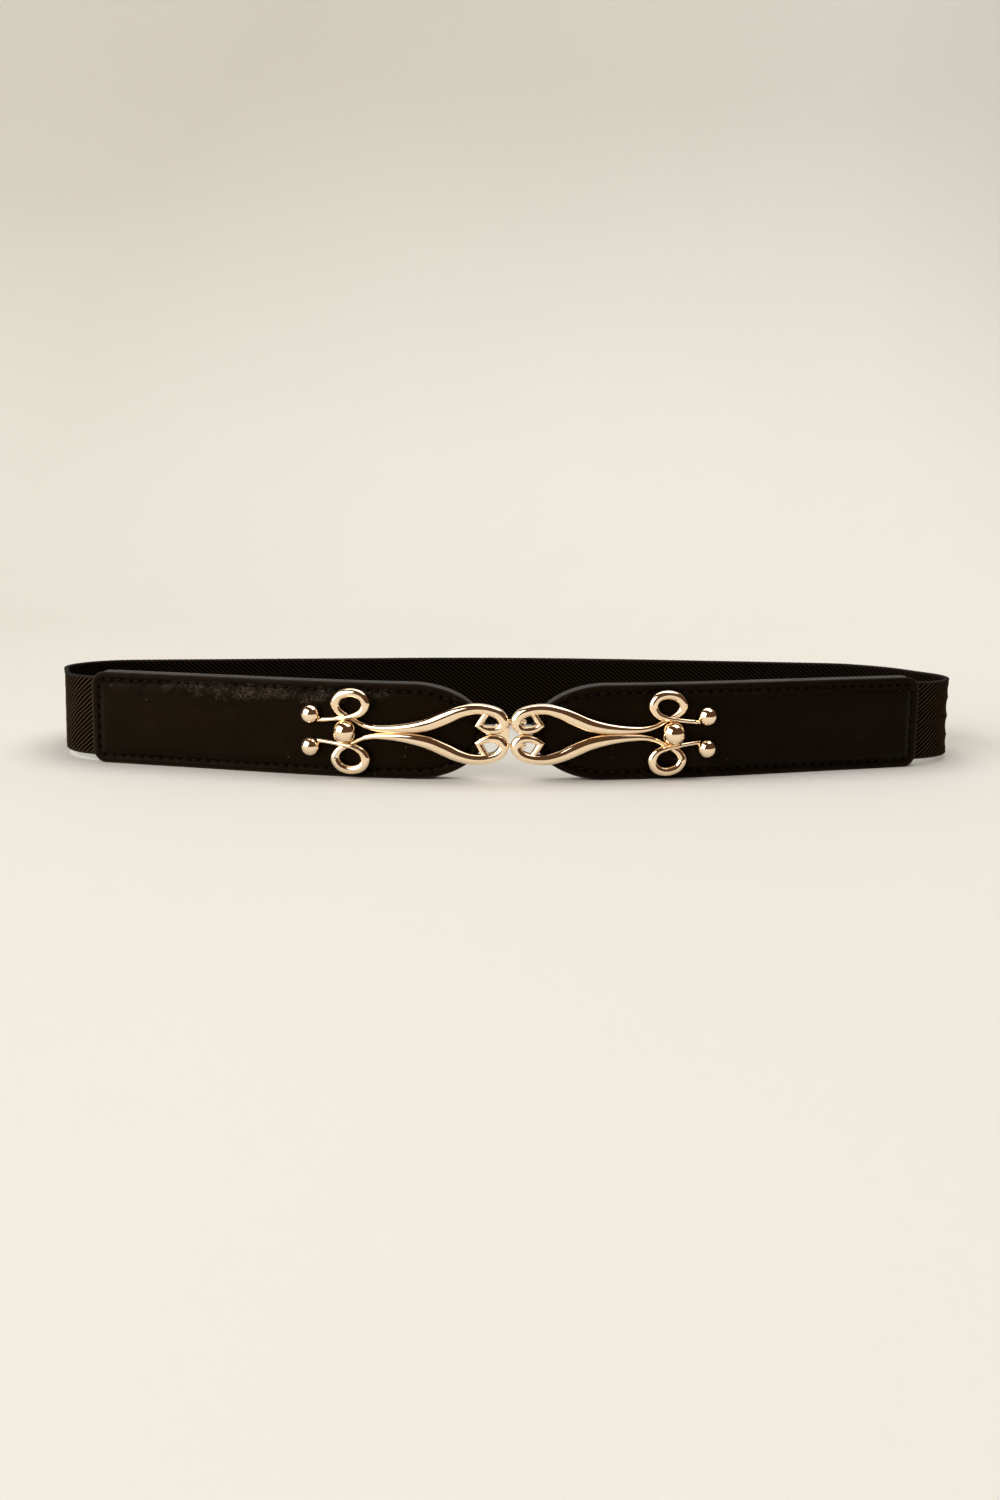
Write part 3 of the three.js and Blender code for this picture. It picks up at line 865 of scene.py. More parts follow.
@dataclass
class ElasticBand:
    """The woven elastic, from inside one tab round the back to inside the other."""

    line: LoopLine
    height: float = 26.0
    thickness: float = 1.4
    starts_at: float = 71.0
    tab_length: float = 137.0
    tab_height: float = 30.0
    settles_over: float = 70.0
    rib_along: float = 1.9
    rib_up: float = 1.5
    rib_depth: float = 0.36
    rib_roundness: float = 1.4
    columns_per_rib: int = 6
    scallop: float = 0.09
    sway: float = 0.16
    sway_lengths: Pair = (17.0, 7.3)
    fade_length: float = 4.0
    free_from: Pair = (1.0, 8.0)
    edge_rows: tuple[Pair, ...] = ((0.0, 0.4), (0.01, 0.78), (0.03, 0.96), (0.07, 1.0), (0.25, 1.0))
    ribbed_from: float = 0.9
    cord_radius: float = 0.4
    cord_inset: float = 0.42
    cord_overhang: float = 0.1
    cord_start: float = 0.6
    cord_step: float = 0.45
    cord_swell: float = 0.09
    cord_turn: float = 1.06875

    def past_tab(self, along: Array) -> Array:
        """Distance past the nearer tab."""
        return np.minimum(along, self.line.length - along) - self.tab_length

    def low_edge(self, past_tab: Array) -> Array:
        """Height of the band's lower edge, which settles to the surface round the back."""
        return (self.tab_height - self.height) / 2 * (1 - smooth_step(0, self.settles_over, past_tab))

    def build(self) -> Piece:
        """Makes the band with slanting ribs on both faces, by columns that follow the ribs.

        Returns:
            The band.
        """
        slope = self.rib_along / self.rib_up
        first, last = self.starts_at, self.line.length - self.starts_at
        starts = np.arange(first - slope * self.height, last, self.rib_along / self.columns_per_rib)[:, None]
        lower = np.array(self.edge_rows)
        half_section = np.concatenate([lower, [(0.5, 1.0)], lower[::-1] * [-1, 1] + [1, 0]])
        section = np.concatenate([half_section, half_section[::-1], half_section[:1]])
        outside = np.array([1.0] * len(half_section) + [-1.0] * len(half_section) + [1.0])[None, :]
        share, fullness = section[None, :, 0], section[None, :, 1]
        along = np.clip(starts + slope * share * self.height, first, last)
        rib = 0.5 + 0.5 * np.cos(2 * np.pi * starts / self.rib_along)
        fade = smooth_step(0.0, self.fade_length, along - first)
        fade = fade * smooth_step(0.0, self.fade_length, last - along)
        past_tab = self.past_tab(along)
        free = smooth_step(*self.free_from, past_tab)
        knots = self.scallop * free * np.abs(np.cos(np.pi * along / self.rib_along))
        height = self.low_edge(past_tab) + share * (self.height - knots)
        long_wave, short_wave = self.sway_lengths
        waves = np.sin(along / long_wave) + np.sin(along / short_wave + 1.0) * 0.5
        sway = self.sway * free * waves * (2 * share - 1)
        ribbed = self.rib_depth * (1 - rib**self.rib_roundness) * fade * (fullness > self.ribbed_from)
        thick = self.thickness / 2 * fullness - ribbed
        points = self.line.place(along, sway + outside * thick, height)
        uvs = np.stack(np.broadcast_arrays(along * MM, share * self.height * MM), -1)
        # The elastic's colour reads this to paint shade on the inner face.
        values = {"outside": np.broadcast_to((outside + 1) / 2, along.shape)}
        piece = wrapped_grid("elastic_webbing", points, uvs, values)
        tidy_mesh(piece, fill=True)
        shade(piece, 60)
        piece.data.materials.append(shared(TwillElastic()))
        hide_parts("elastic_band")
        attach(piece, ROOT)
        return piece

    def build_edges(self) -> Piece:
        """Makes the overlocked yarn that binds both edges of the band.

        Returns:
            Both cords as one piece.
        """
        start = self.tab_length + self.cord_start
        along = np.arange(start, self.line.length - start, self.cord_step)[:, None]
        angle = np.linspace(0, 2 * np.pi, 9)[None, :]
        swell = self.cord_swell * np.cos(2 * np.pi * along / self.cord_turn)
        reach = self.thickness / 2 + self.cord_overhang + 0.4 * swell
        cords = []
        for edge, inward in ((0.0, self.cord_inset), (1.0, -self.cord_inset)):
            middle = self.low_edge(self.past_tab(along)) + edge * self.height + inward
            height = middle + (self.cord_radius + 0.5 * swell) * np.sin(angle)
            points = self.line.place(along + 0 * angle, reach * np.cos(angle), height)
            uvs = np.stack(np.broadcast_arrays(along * MM, (edge * self.height + 0 * angle) * MM), -1)
            cords.append(wrapped_grid(f"edge_{int(edge)}", points, uvs))
            tidy_mesh(cords[-1], fill=True)
        piece = join("elastic_selvedges", cords)
        shade(piece, 60)
        piece.data.materials.append(shared(SelvedgeYarn()))
        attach(piece, ROOT)
        return piece


@dataclass
class LeatherTab:
    """One tab: two sewn leather layers with the elastic between them, and the stitches along their seam."""

    line: LoopLine
    side: Side
    length: float = 137.0
    height: float = 30.0
    tip_gap: float = 7.2
    nose_length: float = 23.3
    corner_radius: float = 4.5
    thickness: float = 2.2
    half_gap: float = 0.15
    pocket_depth: float = 0.85
    tip_fullness: float = 0.25
    full_after: float = 16.0
    full_by: float = 70.4
    seam_inset: float = 2.6
    pocket_slope: float = 2.6
    groove_depth: float = 0.6
    groove_width: float = 0.5
    rim_drop: float = 0.22
    rim_width: float = 1.1
    crown: float = 0.16
    edge_bevel: float = 0.42
    stitch_pitch: float = 3.3
    stitch_length: float = 2.35
    stitch_lift: float = 0.1
    stitch_slant: float = 0.1
    stitch_dip: float = 0.2
    thread: float = 0.6
    middle_inset: Pair = (11.0, 10.0)
    outline_points: int = 300
    rings: tuple[float, ...] = (0, 0.3, 0.7, 1.2, 1.7, 2.05, 2.25, 2.42, 2.6, 2.78, 2.95, 3.15, 3.5, 4.0)
    fractions: tuple[float, ...] = (0.1, 0.22, 0.36, 0.52, 0.68, 0.84, 1.0)

    def outline(self, inset: float, count: int) -> Array:
        """The tab's outline, drawn in by an inset.

        Args:
            inset: the distance inside the cut edge.
            count: how many points, evenly spaced along the edge itself.

        Returns:
            Points as distance from the joint and height from the axis.
        """
        half, radius = self.height / 2, self.corner_radius
        nose = np.linspace(0, np.pi / 2, 200)
        nose_part = np.stack([self.tip_gap + self.nose_length * (1 - np.cos(nose)), -half * np.sin(nose)], -1)
        turn = np.linspace(-np.pi / 2, 0, 60)
        along = self.length - radius + radius * np.cos(turn)
        low_corner = np.stack([along, -half + radius * (1 + np.sin(turn))], -1)
        lower = np.concatenate([nose_part, low_corner])
        closed = np.concatenate([lower, lower[::-1] * [1, -1]])
        steps = run_along(closed)
        wanted = np.linspace(0, steps[-1], count)
        points = np.stack([np.interp(wanted, steps, closed[:, k]) for k in (0, 1)], -1)
        way = np.roll(points[:-1], -1, axis=0) - np.roll(points[:-1], 1, axis=0)
        way = np.concatenate([way, way[:1]])
        way /= np.hypot(*way.T)[:, None]
        return points + np.stack([-way[:, 1], way[:, 0]], -1) * inset

    def out_at(self, along: Array, inside: Array, up: Array) -> Array:
        """How far a layer's face stands out from the middle line.

        Args:
            along: distances from the joint.
            inside: distances inside the cut edge.
            up: heights from the axis.

        Returns:
            The distances out.
        """
        filled = smooth_step(self.full_after, self.full_by, along)
        fullness = self.tip_fullness + (1 - self.tip_fullness) * filled
        lift = smooth_step(self.seam_inset - 0.4, self.seam_inset + self.pocket_slope, inside)
        groove = self.groove_depth * np.exp(-(((inside - self.seam_inset) / self.groove_width) ** 2))
        rim = self.rim_drop * (1 - smooth_step(0, self.rim_width, inside))
        crown = self.crown * lift * (1 - (up / (self.height / 2)) ** 2)
        return self.half_gap + self.thickness + self.pocket_depth * fullness * lift + crown - groove - rim

    def surface(self) -> tuple[Array, Array]:
        """Lays out the face by rings, from the cut edge in to a line along the middle.

        Returns:
            Points as distance and height from the axis, and their distances inside the edge.
        """
        columns = [self.outline(inset, self.outline_points) for inset in self.rings]
        inner = columns[-1]
        middle_along = np.clip(
            inner[:, 0], self.tip_gap + self.middle_inset[0], self.length - self.middle_inset[1]
        )
        middle = np.stack([middle_along, np.zeros(len(inner))], -1)
        columns += [inner + (middle - inner) * share for share in self.fractions]
        flat = np.stack(columns, 1)
        edge = self.outline(0.0, 1200)
        distance = np.empty(flat.shape[:2])
        for ring in range(flat.shape[1]):
            gap = flat[:, ring, None, :] - edge[None, :, :]
            distance[:, ring] = np.sqrt((gap**2).sum(-1).min(-1))
        distance[:, 0] = 0.0
        return flat, distance

    def build_layer(self, layer: Layer) -> Piece:
        """Makes one leather layer with its padded middle, seam groove and sealed edge.

        Args:
            layer: which of the two.

        Returns:
            The layer.
        """
        flat, inside = self.surface()
        along, up = flat[..., 0], flat[..., 1]
        out = layer.value * self.out_at(along, inside, up)
        points = self.line.place(self.side.value * along, out, self.height / 2 + up)
        uvs = np.stack([along * MM, (self.height / 2 + up) * MM], -1)
        side_name, layer_name = self.side.name.lower(), layer.name.lower()
        _, steps, count = self.seam(self.outline_points)
        stitch_number = np.repeat((steps / steps[-1] * count)[:, None], points.shape[1], 1)
        values = {"inside": inside, "seam": stitch_number}
        piece = wrapped_grid(f"{side_name}_{layer_name}_tab", points, uvs, values)
        tidy_mesh(piece)
        self._face_outwards(piece, layer)
        leather = TabLeather(f"{side_name}_leather", 1.0 if self.side is Side.LEFT else 0.35)
        piece.data.materials.append(shared(leather))
        piece.data.materials.append(shared(SealedEdge()))
        apply_modifier(piece, "SOLIDIFY", thickness=self.thickness * MM, offset=-1.0, material_offset_rim=1)
        bevel = {"width": self.edge_bevel * MM, "angle_limit": math.radians(55)}
        apply_modifier(piece, "BEVEL", segments=3, limit_method="ANGLE", **bevel)
        shade(piece, 50)
        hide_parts(f"{side_name}_{layer_name}_leather")
        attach(piece, ROOT)
        return piece

    def _face_outwards(self, piece: Piece, layer: Layer) -> None:
        """Turns an open face so that its normals point away from the elastic.

        Args:
            piece: the face.
            layer: the layer it belongs to.
        """
        largest = max(piece.data.polygons, key=lambda face: face.area)
        halfway = self.side.value * self.length / 2
        outwards = self.line.place(halfway, 10.0, 0.0) - self.line.place(halfway, 0.0, 0.0)
        if Vector(outwards).dot(largest.normal) * layer.value < 0:
            piece.data.flip_normals()

    def seam(self, points: int) -> tuple[Array, Array, int]:
        """Lays out the seam.

        Args:
            points: how many points it has.

        Returns:
            The points, their distances along the seam, and its number of stitches.
        """
        seam = self.outline(self.seam_inset, points)
        steps = run_along(seam)
        return seam, steps, int(round(steps[-1] / self.stitch_pitch))

    def build_stitches(self, layer: Layer) -> Piece:
        """Makes the row of stitches that lies in a layer's seam groove.

        Args:
            layer: the layer.

        Returns:
            The stitches as one piece.
        """
        half = self.stitch_length / 2
        frames = self._stitch_frames(layer, half)
        deselect_all()
        bpy.ops.mesh.primitive_uv_sphere_add(segments=8, ring_count=7, radius=1.0)
        template = made()
        pick(template)
        bpy.ops.object.mode_set(mode="EDIT")
        bpy.ops.mesh.select_all(action="SELECT")
        thin = self.thread / 2 * MM
        bpy.ops.transform.resize(value=(half * MM, thin, thin), center_override=(0, 0, 0))
        bpy.ops.object.mode_set(mode="OBJECT")
        self._plump(template, half)
        piece = copies(f"{self.side.name.lower()}_{layer.name.lower()}_stitches", template, frames)
        pick(piece)
        bpy.ops.object.shade_smooth()
        piece.data.materials.append(shared(WaxedThread()))
        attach(piece, ROOT)
        return piece

    def _stitch_frames(self, layer: Layer, half: float) -> Array:
        """Places the stitches along the seam, each with a slight slant.

        Args:
            layer: the layer.
            half: half a stitch's length.

        Returns:
            One 3 by 4 matrix for each stitch: its way, across, out and centre.
        """
        seam, steps, count = self.seam(2000)
        middles = (np.arange(count) + 0.5) * steps[-1] / count
        start, end, centre = (self._on_seam(layer, seam, steps, middles + k * half) for k in (-1, 1, 0))
        way = end - start
        way /= np.linalg.norm(way, axis=1)[:, None]
        along = self.side.value * np.interp(middles, steps, seam[:, 0])
        out = self.line.place(along, layer.value * 40.0, centre[:, 2] / MM) - centre
        out -= way * (out * way).sum(1)[:, None]
        out /= np.linalg.norm(out, axis=1)[:, None]
        slant = self.stitch_slant * layer.value
        way = way * math.cos(slant) + np.cross(out, way) * math.sin(slant)
        return np.concatenate([np.stack([way, np.cross(out, way), out], -1), centre[:, :, None]], -1)

    def _on_seam(self, layer: Layer, seam: Array, steps: Array, distance: Array) -> Array:
        """Points on a layer's face, in its seam.

        Args:
            layer: the layer.
            seam: the seam's points.
            steps: their distances along it.
            distance: the distances along it that are wanted.

        Returns:
            The points in metres.
        """
        along, up = (np.interp(distance, steps, seam[:, k]) for k in (0, 1))
        out = self.out_at(along, np.full_like(along, self.seam_inset), up) + self.stitch_lift
        return self.line.place(self.side.value * along, layer.value * out, self.height / 2 + up)

    def _plump(self, template: Piece, half: float) -> None:
        """Gives a stitch an even thickness, with ends that dip into their holes.

        Args:
            template: the stitch.
            half: half its length.
        """
        for point in template.data.vertices:
            share = abs(point.co.x) / (half * MM)
            swell = (1 - share**4) ** 0.5 / max(0.05, (1 - share**2) ** 0.5) if share < 0.999 else 1.0
            point.co.y *= min(swell, 2.0)
            point.co.z = point.co.z * min(swell, 2.0) - self.stitch_dip * MM * share**3


@dataclass(frozen=True)
class ScrollRow:
    """A station of a scroll: its place, width and rise, as shares of the buckle half's own sizes."""

    along: float
    up: float
    wide: float
    rise: float


def rows_of(*numbers: Tint) -> tuple[ScrollRow, ...]:
    """Scroll rows from plain numbers."""
    return tuple(ScrollRow(*row) for row in numbers)


SCROLL = rows_of(
    *((0.77, 0.33, 0.34, 0.5), (0.708, 0.165, 0.38, 0.6), (0.65, 0.1, 0.47, 0.72), (0.58, 0.092, 0.58, 0.82)),
    *((0.51, 0.11, 0.72, 0.92), (0.445, 0.15, 0.87, 1.0), (0.378, 0.228, 0.97, 1.0), (0.31, 0.365, 1.0, 1.0)),
    *((0.243, 0.505, 0.9, 1.0), (0.173, 0.585, 0.78, 0.96), (0.105, 0.57, 0.72, 0.92)),
    *((0.05, 0.465, 0.74, 0.9), (0.029, 0.285, 0.74, 0.88), (0.047, 0.135, 0.66, 0.84)),
    *((0.088, 0.095, 0.56, 0.8), (0.124, 0.135, 0.52, 0.78), (0.149, 0.213, 0.5, 0.76)),
)
CURL_RETURN = rows_of((0.149, 0.213, 0.5, 0.76), (0.131, 0.36, 0.47, 0.74), (0.11, 0.5, 0.44, 0.72))
LOOP = rows_of(
    *((0.72, 0.19, 0.34, 0.5), (0.775, 0.335, 0.38, 0.55), (0.823, 0.47, 0.56, 0.75), (0.84, 0.65, 0.7, 0.9)),
    *((0.815, 0.83, 0.68, 0.92), (0.762, 0.905, 0.66, 0.92), (0.71, 0.83, 0.68, 0.92)),
    *((0.69, 0.645, 0.7, 0.92), (0.71, 0.46, 0.6, 0.92), (0.755, 0.36, 0.46, 0.9)),
    *((0.815, 0.305, 0.4, 0.82), (0.88, 0.262, 0.36, 0.72), (0.94, 0.235, 0.36, 0.66)),
)


def smooth_line(rows: Array, steps: int) -> Array:
    """A smooth curve through rows, with even steps between each two rows.

    Args:
        rows: the points to pass through, one row each.
        steps: the steps between neighbouring rows.

    Returns:
        The points of the curve.
    """
    padded = np.concatenate([[2 * rows[0] - rows[1]], rows, [2 * rows[-1] - rows[-2]]])
    curve = []
    for k in range(len(rows) - 1):
        p0, p1, p2, p3 = padded[k : k + 4]
        d0, d1, d2 = (
            max(float(((b - a) ** 2).sum()) ** 0.25, 1e-4) for a, b in ((p0, p1), (p1, p2), (p2, p3))
        )
        t1 = ((p1 - p0) / d0 - (p2 - p0) / (d0 + d1) + (p2 - p1) / d1) * d1
        t2 = ((p2 - p1) / d1 - (p3 - p1) / (d1 + d2) + (p3 - p2) / d2) * d1
        last = k == len(rows) - 2
        for w in np.linspace(0, 1, steps + 1)[: None if last else -1]:
            cube, square = w**3, w**2
            leaving = p1 * (2 * cube - 3 * square + 1) + t1 * (cube - 2 * square + w)
            curve.append(leaving + p2 * (3 * square - 2 * cube) + t2 * (cube - square))
    return np.array(curve)


@dataclass
class ScrollBuckle:
    """One cast half of the buckle: mirrored scrolls, knobs, rivets, and on one half the hooks."""

    line: LoopLine
    side: Side
    hooked: bool
    half_length: float = 63.6
    half_height: float = 13.3
    ribbon_width: float = 4.4
    ribbon_rise: float = 2.8
    ribbon_steps: int = 12
    tip_reach: float = 0.42
    tip_least: float = 0.06
    back: float = 3.5
    axis: float = 15.0
    small_knob: float = 3.05
    small_knob_place: Pair = (0.96, 0.38)
    large_knob: float = 3.6
    large_knob_place: Pair = (0.79, 0.0)
    knob_sink: float = 0.45
    post_shares: tuple[float, ...] = (0.79, 0.48)
    post_radius: float = 1.2
    post_reach: float = 1.0
    seat: float = -3.5
    head: tuple[Pair, ...] = (
        *((0.0, 1.15), (1.3, 1.1), (2.1, 0.92), (2.62, 0.62), (2.8, 0.3), (2.72, 0.04), (2.5, 0.0)),
    )
    hook_thickness: float = 1.0
    hook_height: float = 1.2
    hook_tip_rise: float = 1.0
    hook_root_length: float = 2.6
    hook_root_rise: float = 0.5
    clearance: float = 0.3
    bar_bevel: float = 0.22
    joint_plate: tuple[Triple, Triple] = ((0.15, -3.2, 0.0), (4.35, 3.2, 1.0))
    section: tuple[Pair, ...] = (
        *((0.0, 0.0), (0.34, 0.0), (0.47, 0.04), (0.5, 0.13), (0.5, 0.38), (0.492, 0.5), (0.468, 0.615)),
        *((0.425, 0.72), (0.365, 0.81), (0.29, 0.885), (0.21, 0.94), (0.13, 0.975), (0.06, 0.993)),
    )
    section_top: Pair = (0.0, 0.998)

    def place(self, along: Array, up: Array, out: Array) -> Array:
        """Points of this half, by distance from the joint, height from the axis and height off its back."""
        out = self.back + np.asarray(out)
        return self.line.place(self.side.value * np.asarray(along), out, self.axis + up)

    def ribbon(self, rows: Sequence[ScrollRow], half: int, after: Sequence[ScrollRow] = ()) -> Piece:
        """Sweeps one tapering ribbon with rounded shoulders.

        Args:
            rows: its stations.
            half: 1 for the upper scroll and -1 for the lower.
            after: stations past a sharp corner, which starts at the last of the rows.

        Returns:
            The ribbon as a closed mesh.
        """
        parts = [self._stations(part) for part in (rows, after) if len(part) > 0]
        middle, sizes, way = (np.concatenate([part[k] for part in parts]) for k in range(3))
        if len(parts) == 2:
            corner = len(parts[0][0])
            before, past = way[corner - 1], way[corner]
            bisector = (before + past) / np.hypot(*(before + past))
            sizes[corner - 1, 0] *= 1.0 / float(bisector @ before)
            way[corner - 1] = bisector
            middle, sizes, way = (np.delete(values, corner, axis=0) for values in (middle, sizes, way))
        middle, sizes, way = self._rounded_ends(middle, sizes, way)
        right = list(self.section)
        left = [(-across, out) for across, out in reversed(right[1:])]
        loop = np.array(right + [self.section_top] + left + [right[0]])
        across = loop[None, :, 0] * sizes[:, None, 0]
        rise = loop[None, :, 1] * sizes[:, None, 1]
        along = middle[:, None, 0] - way[:, None, 1] * across
        up = middle[:, None, 1] + way[:, None, 0] * across
        piece = wrapped_grid("ribbon", self.place(along, half * up, rise))
        tidy_mesh(piece, fill=True)
        return piece

    def _stations(self, rows: Sequence[ScrollRow]) -> tuple[Array, Array, Array]:
        """Smooths a stretch of ribbon.

        Args:
            rows: its stations.

        Returns:
            Its middle line, sizes and directions.
        """
        places = [(r.along * self.half_length, r.up * self.half_height) for r in rows]
        middle = smooth_line(np.array(places), self.ribbon_steps)
        sizes = [(r.wide * self.ribbon_width, r.rise * self.ribbon_rise) for r in rows]
        way = np.gradient(middle, axis=0)
        return middle, smooth_line(np.array(sizes), self.ribbon_steps), way / np.hypot(*way.T)[:, None]

    def _rounded_ends(self, middle: Array, sizes: Array, way: Array) -> tuple[Array, Array, Array]:
        """Adds a short rounded tip at each end of a ribbon.

        Args:
            middle: the ribbon's middle line.
            sizes: its widths and rises.
            way: its directions.

        Returns:
            The same three with the tips.
        """
        angles = np.linspace(0, np.pi / 2, 6)[1:]
        shrink = np.maximum(np.cos(angles), self.tip_least)
        for index, sign in ((0, -1), (-1, 1)):
            reach = self.tip_reach * sizes[index, 0]
            tip = middle[index] + sign * way[index] * reach * np.sin(angles)[:, None]
            tip_sizes = np.stack([sizes[index, 0] * shrink, sizes[index, 1] * (0.6 + 0.4 * shrink)], -1)
            tip_way = np.repeat(way[index][None], len(angles), 0)
            pairs = ((middle, tip), (sizes, tip_sizes), (way, tip_way))
            if index == 0:
                middle, sizes, way = (np.concatenate([added[::-1], old]) for old, added in pairs)
            else:
                middle, sizes, way = (np.concatenate([old, added]) for old, added in pairs)
        return middle, sizes, way

    def knob(self, along: float, up: float, radius: float) -> Piece:
        """Makes a polished ball that sits in the scrollwork, flat at its back.

        Args:
            along: its distance from the joint, as a share of the half's length.
            up: its height from the axis, as a share of the half's height.
            radius: its radius.

        Returns:
            The ball.
        """
        deselect_all()
        bpy.ops.mesh.primitive_uv_sphere_add(segments=48, ring_count=32, radius=1.0)
        piece = made()
        x, y, z = (radius * read_points(piece.data)).T
        out = np.maximum(radius * (1 - self.knob_sink) - y, 0.0)
        points = self.place(along * self.half_length + x, up * self.half_height + z, out)
        piece.data.vertices.foreach_set("co", points.ravel())
        tidy_mesh(piece)
        return piece

    def rivet(self, share: float) -> Piece:
        """Makes a post through the tab, with a domed head on its inner face.

        Args:
            share: its distance from the joint, as a share of the half's length.

        Returns:
            The rivet.
        """
        end = self.back + self.post_reach
        head = [(radius, self.seat - below) for radius, below in self.head]
        profile = np.array([*head, (self.post_radius, self.seat), (self.post_radius, end), (0.0, end)])
        turn = np.linspace(0, 2 * np.pi, 33)[:, None]
        along = share * self.half_length + profile[None, :, 0] * np.cos(turn)
        up = profile[None, :, 0] * np.sin(turn)
        out = np.broadcast_to(profile[None, :, 1], along.shape) - self.back
        piece = wrapped_grid("rivet", self.place(along, up, out))
        tidy_mesh(piece)
        return piece

    def bar(self, low: Triple, high: Triple) -> Piece:
        """Makes a rounded bar.

        Args:
            low: its lowest corner, as distance along, height from the axis and height off the back.
            high: its highest corner, likewise.

        Returns:
            The bar.
        """
        deselect_all()
        bpy.ops.mesh.primitive_cube_add(size=1.0)
        piece = made()
        for point in piece.data.vertices:
            along, up, out = (a + (b - a) * (c + 0.5) for a, b, c in zip(low, high, point.co))
            point.co = Vector(self.place(along, up, out))
        tidy_mesh(piece)
        apply_modifier(piece, "BEVEL", width=self.bar_bevel * MM, segments=3, limit_method="ANGLE")
        return piece

    def hook_bars(self, half: int) -> list[Piece]:
        """Makes one hook: an arm behind the joint, its tip and its root.

        Args:
            half: 1 for the upper hook and -1 for the lower.

        Returns:
            The three bars.
        """
        stroke = min(SCROLL, key=lambda row: row.along)
        reach = stroke.along * self.half_length + stroke.wide * self.ribbon_width / 2
        tip, root = -(reach + 2 * self.clearance), reach - self.clearance
        up = half * stroke.up * self.half_height
        low_up, high_up = up - self.hook_height / 2, up + self.hook_height / 2
        floor = -self.clearance - self.hook_thickness
        corner = (tip - self.hook_thickness, low_up, floor)
        return [
            self.bar(corner, (root, high_up, -self.clearance)),
            self.bar(corner, (tip, high_up, self.hook_tip_rise)),
            self.bar((root - self.hook_root_length, low_up, floor), (root, high_up, self.hook_root_rise)),
        ]

    def build(self) -> Piece:
        """Makes the whole half as one piece.

        Returns:
            The half.
        """
        parts: list[Piece] = []
        for half in (1, -1):
            parts.append(self.ribbon(SCROLL, half, CURL_RETURN))
            parts.append(self.ribbon(LOOP, half))
            along, up = self.small_knob_place
            parts.append(self.knob(along, up * half, self.small_knob))
            if self.hooked:
                parts += self.hook_bars(half)
        parts.append(self.knob(*self.large_knob_place, self.large_knob))
        parts += [self.rivet(share) for share in self.post_shares]
        if self.hooked:
            parts.append(self.bar(*self.joint_plate))
        side_name = self.side.name.lower()
        piece = join(f"{side_name}_scroll_buckle", parts)
        shade(piece, 38)
        piece.data.materials.clear()
        piece.data.materials.append(shared(PaleGold()))
        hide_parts(f"{side_name}_buckle_half")
        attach(piece, ROOT)
        return piece


@dataclass(frozen=True)
class Panel:
    """A soft panel of light: its name, place and size in metres, and power in watts."""

    name: str
    place: Triple
    size: Pair
    power: float


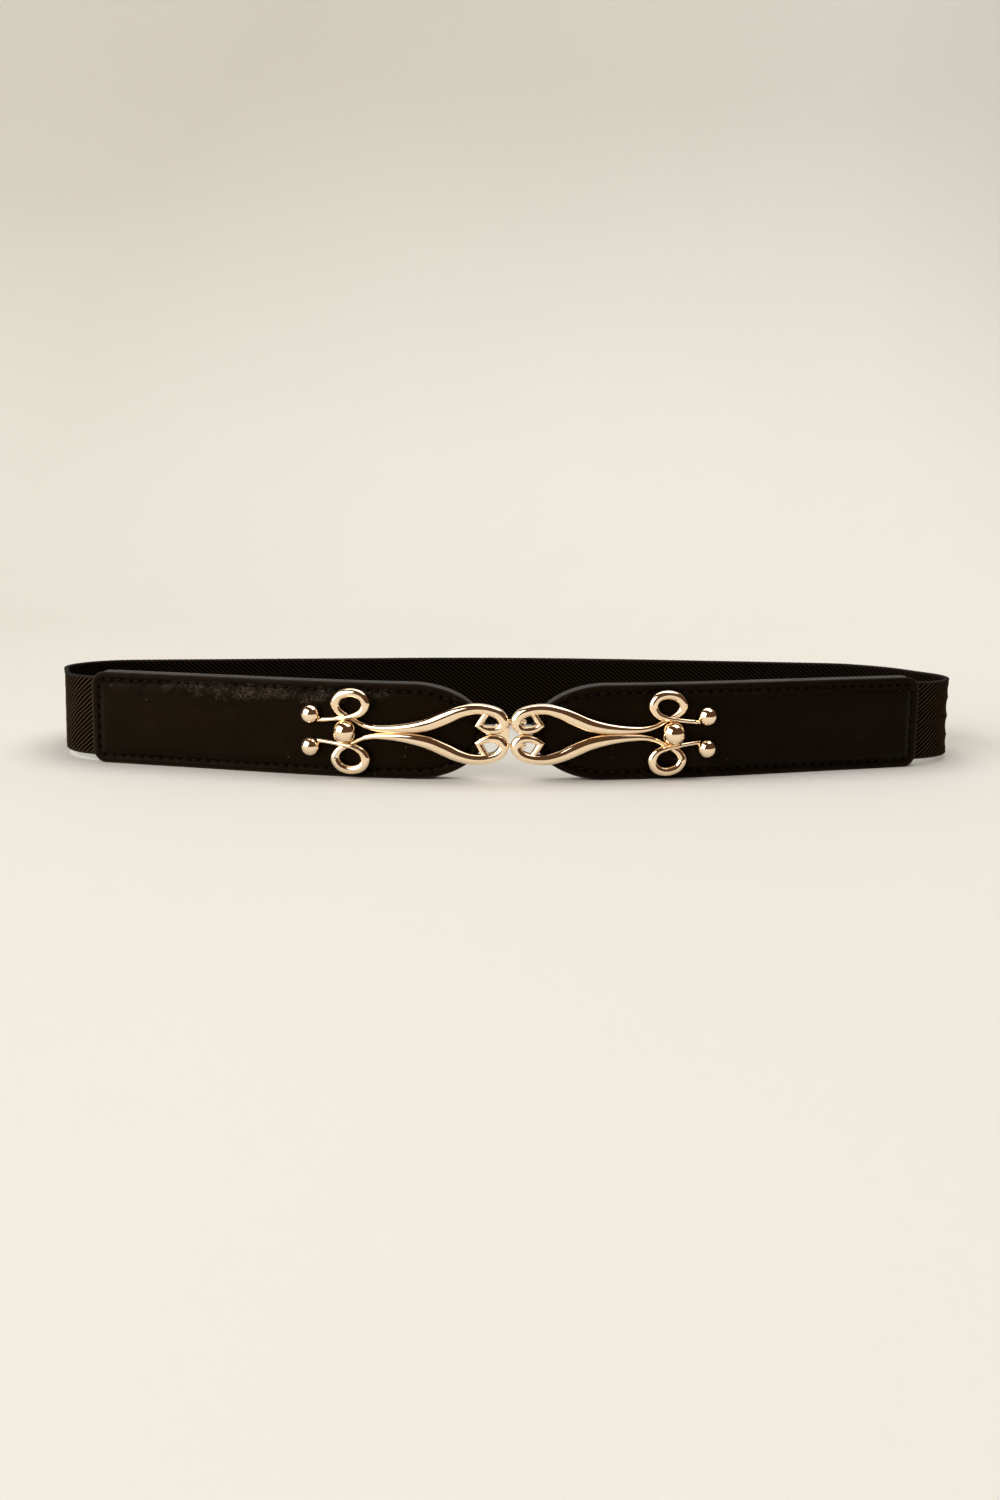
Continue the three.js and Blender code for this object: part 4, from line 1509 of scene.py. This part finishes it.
@dataclass
class Studio:
    """A pale paper sweep, soft lights and the camera. Sizes here are in metres, apart from the lens."""

    camera_place: Triple = (-0.011141, -0.40059, 0.087694)
    camera_turn: float = 0.025
    camera_pitch: float = 0.12
    camera_roll: float = 0.010
    sensor: float = 36.0
    focal: float = 28.263
    shift_y: float = -0.0749
    clip_start: float = 0.01
    sweep_half_width: float = 2.6
    sweep_front: tuple[float, ...] = (-2.4, -1.0, -0.4, 0.0, 0.2)
    sweep_start: float = 0.36
    sweep_radius: float = 0.5
    sweep_height: float = 2.4
    panels: tuple[Panel, ...] = (
        Panel("key_panel", (-1.08, -0.76, 0.68), (1.6, 1.3), 24.5),
        Panel("top_panel", (0.25, 0.35, 1.6), (2.2, 1.1), 20.0),
    )
    panels_face: Triple = (0.0, 0.0, 0.02)
    room_colour: Tint = (1.0, 0.55, 0.32, 1.0)
    room_strength: float = 0.09

    def build_camera(self) -> None:
        """Adds the camera at the photograph's angle."""
        turn, pitch, roll = self.camera_turn, self.camera_pitch, self.camera_roll
        level = math.cos(pitch)
        forward = Vector((math.sin(turn) * level, math.cos(turn) * level, -math.sin(pitch)))
        right = Vector((math.cos(turn), -math.sin(turn), 0.0))
        up = right.cross(forward)
        rolled_right = right * math.cos(roll) + up * math.sin(roll)
        rolled_up = up * math.cos(roll) - right * math.sin(roll)
        data = bpy.data.cameras.new("camera")
        data.sensor_width = self.sensor
        data.lens = self.focal
        data.shift_y = self.shift_y
        data.clip_start = self.clip_start
        camera = bpy.data.objects.new("camera", data)
        bpy.context.scene.collection.objects.link(camera)
        axes = Matrix((rolled_right, rolled_up, -forward)).transposed()
        camera.matrix_world = Matrix.Translation(self.camera_place) @ axes.to_4x4()
        bpy.context.scene.camera = camera

    def build_sweep(self) -> None:
        """Adds the floor, which curves up into a plain background."""
        turn = np.linspace(0, np.pi / 2, 24)
        curve_y = self.sweep_start + self.sweep_radius * np.sin(turn)
        curve_z = self.sweep_radius * (1 - np.cos(turn))
        y = np.concatenate([self.sweep_front, curve_y, [curve_y[-1]]])
        z = np.concatenate([[0.0] * len(self.sweep_front), curve_z, [self.sweep_height]])
        x = np.linspace(-self.sweep_half_width, self.sweep_half_width, 9)
        points = np.stack(np.broadcast_arrays(x[:, None], y[None, :], z[None, :]), -1)
        piece = wrapped_grid("studio_sweep", points)
        shade(piece, 60)
        piece.data.materials.append(shared(StudioPaper()))

    def build_light(self, panel: Panel) -> None:
        """Adds one panel of light that faces the belt.

        Args:
            panel: the panel.
        """
        data = bpy.data.lights.new(panel.name, "AREA")
        data.shape = "RECTANGLE"
        data.size, data.size_y = panel.size
        data.energy = panel.power
        light = bpy.data.objects.new(panel.name, data)
        light.location = panel.place
        aim = Vector(self.panels_face) - Vector(panel.place)
        light.rotation_euler = aim.to_track_quat("-Z", "Y").to_euler()
        bpy.context.scene.collection.objects.link(light)

    def build(self) -> None:
        """Adds the camera, the sweep, the lights and the dim room round them."""
        self.build_camera()
        self.build_sweep()
        for panel in self.panels:
            self.build_light(panel)
        world = bpy.data.worlds.new("room")
        bpy.context.scene.world = world
        world.use_nodes = True
        background = world.node_tree.nodes["Background"]
        background.inputs["Color"].default_value = self.room_colour
        background.inputs["Strength"].default_value = self.room_strength
        bpy.context.scene.view_settings.view_transform = "Standard"


def report(piece: Piece) -> None:
    """Logs a finished piece and its number of faces."""
    LOG.info("%s: %d faces", piece.name, len(piece.data.polygons))


def main() -> None:
    """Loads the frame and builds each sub-assembly in order."""
    logging.basicConfig(level=logging.INFO, format="%(name)s: %(message)s")
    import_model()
    Studio().build()
    line = LoopLine()
    LOG.info("loop of %.1f mm", line.length)
    band = ElasticBand(line)
    report(band.build())
    report(band.build_edges())
    for side in Side:
        tab = LeatherTab(line, side)
        for layer in Layer:
            report(tab.build_layer(layer))
            report(tab.build_stitches(layer))
        report(ScrollBuckle(line, side, hooked=side is Side.LEFT).build())


if __name__ == "__main__":
    main()
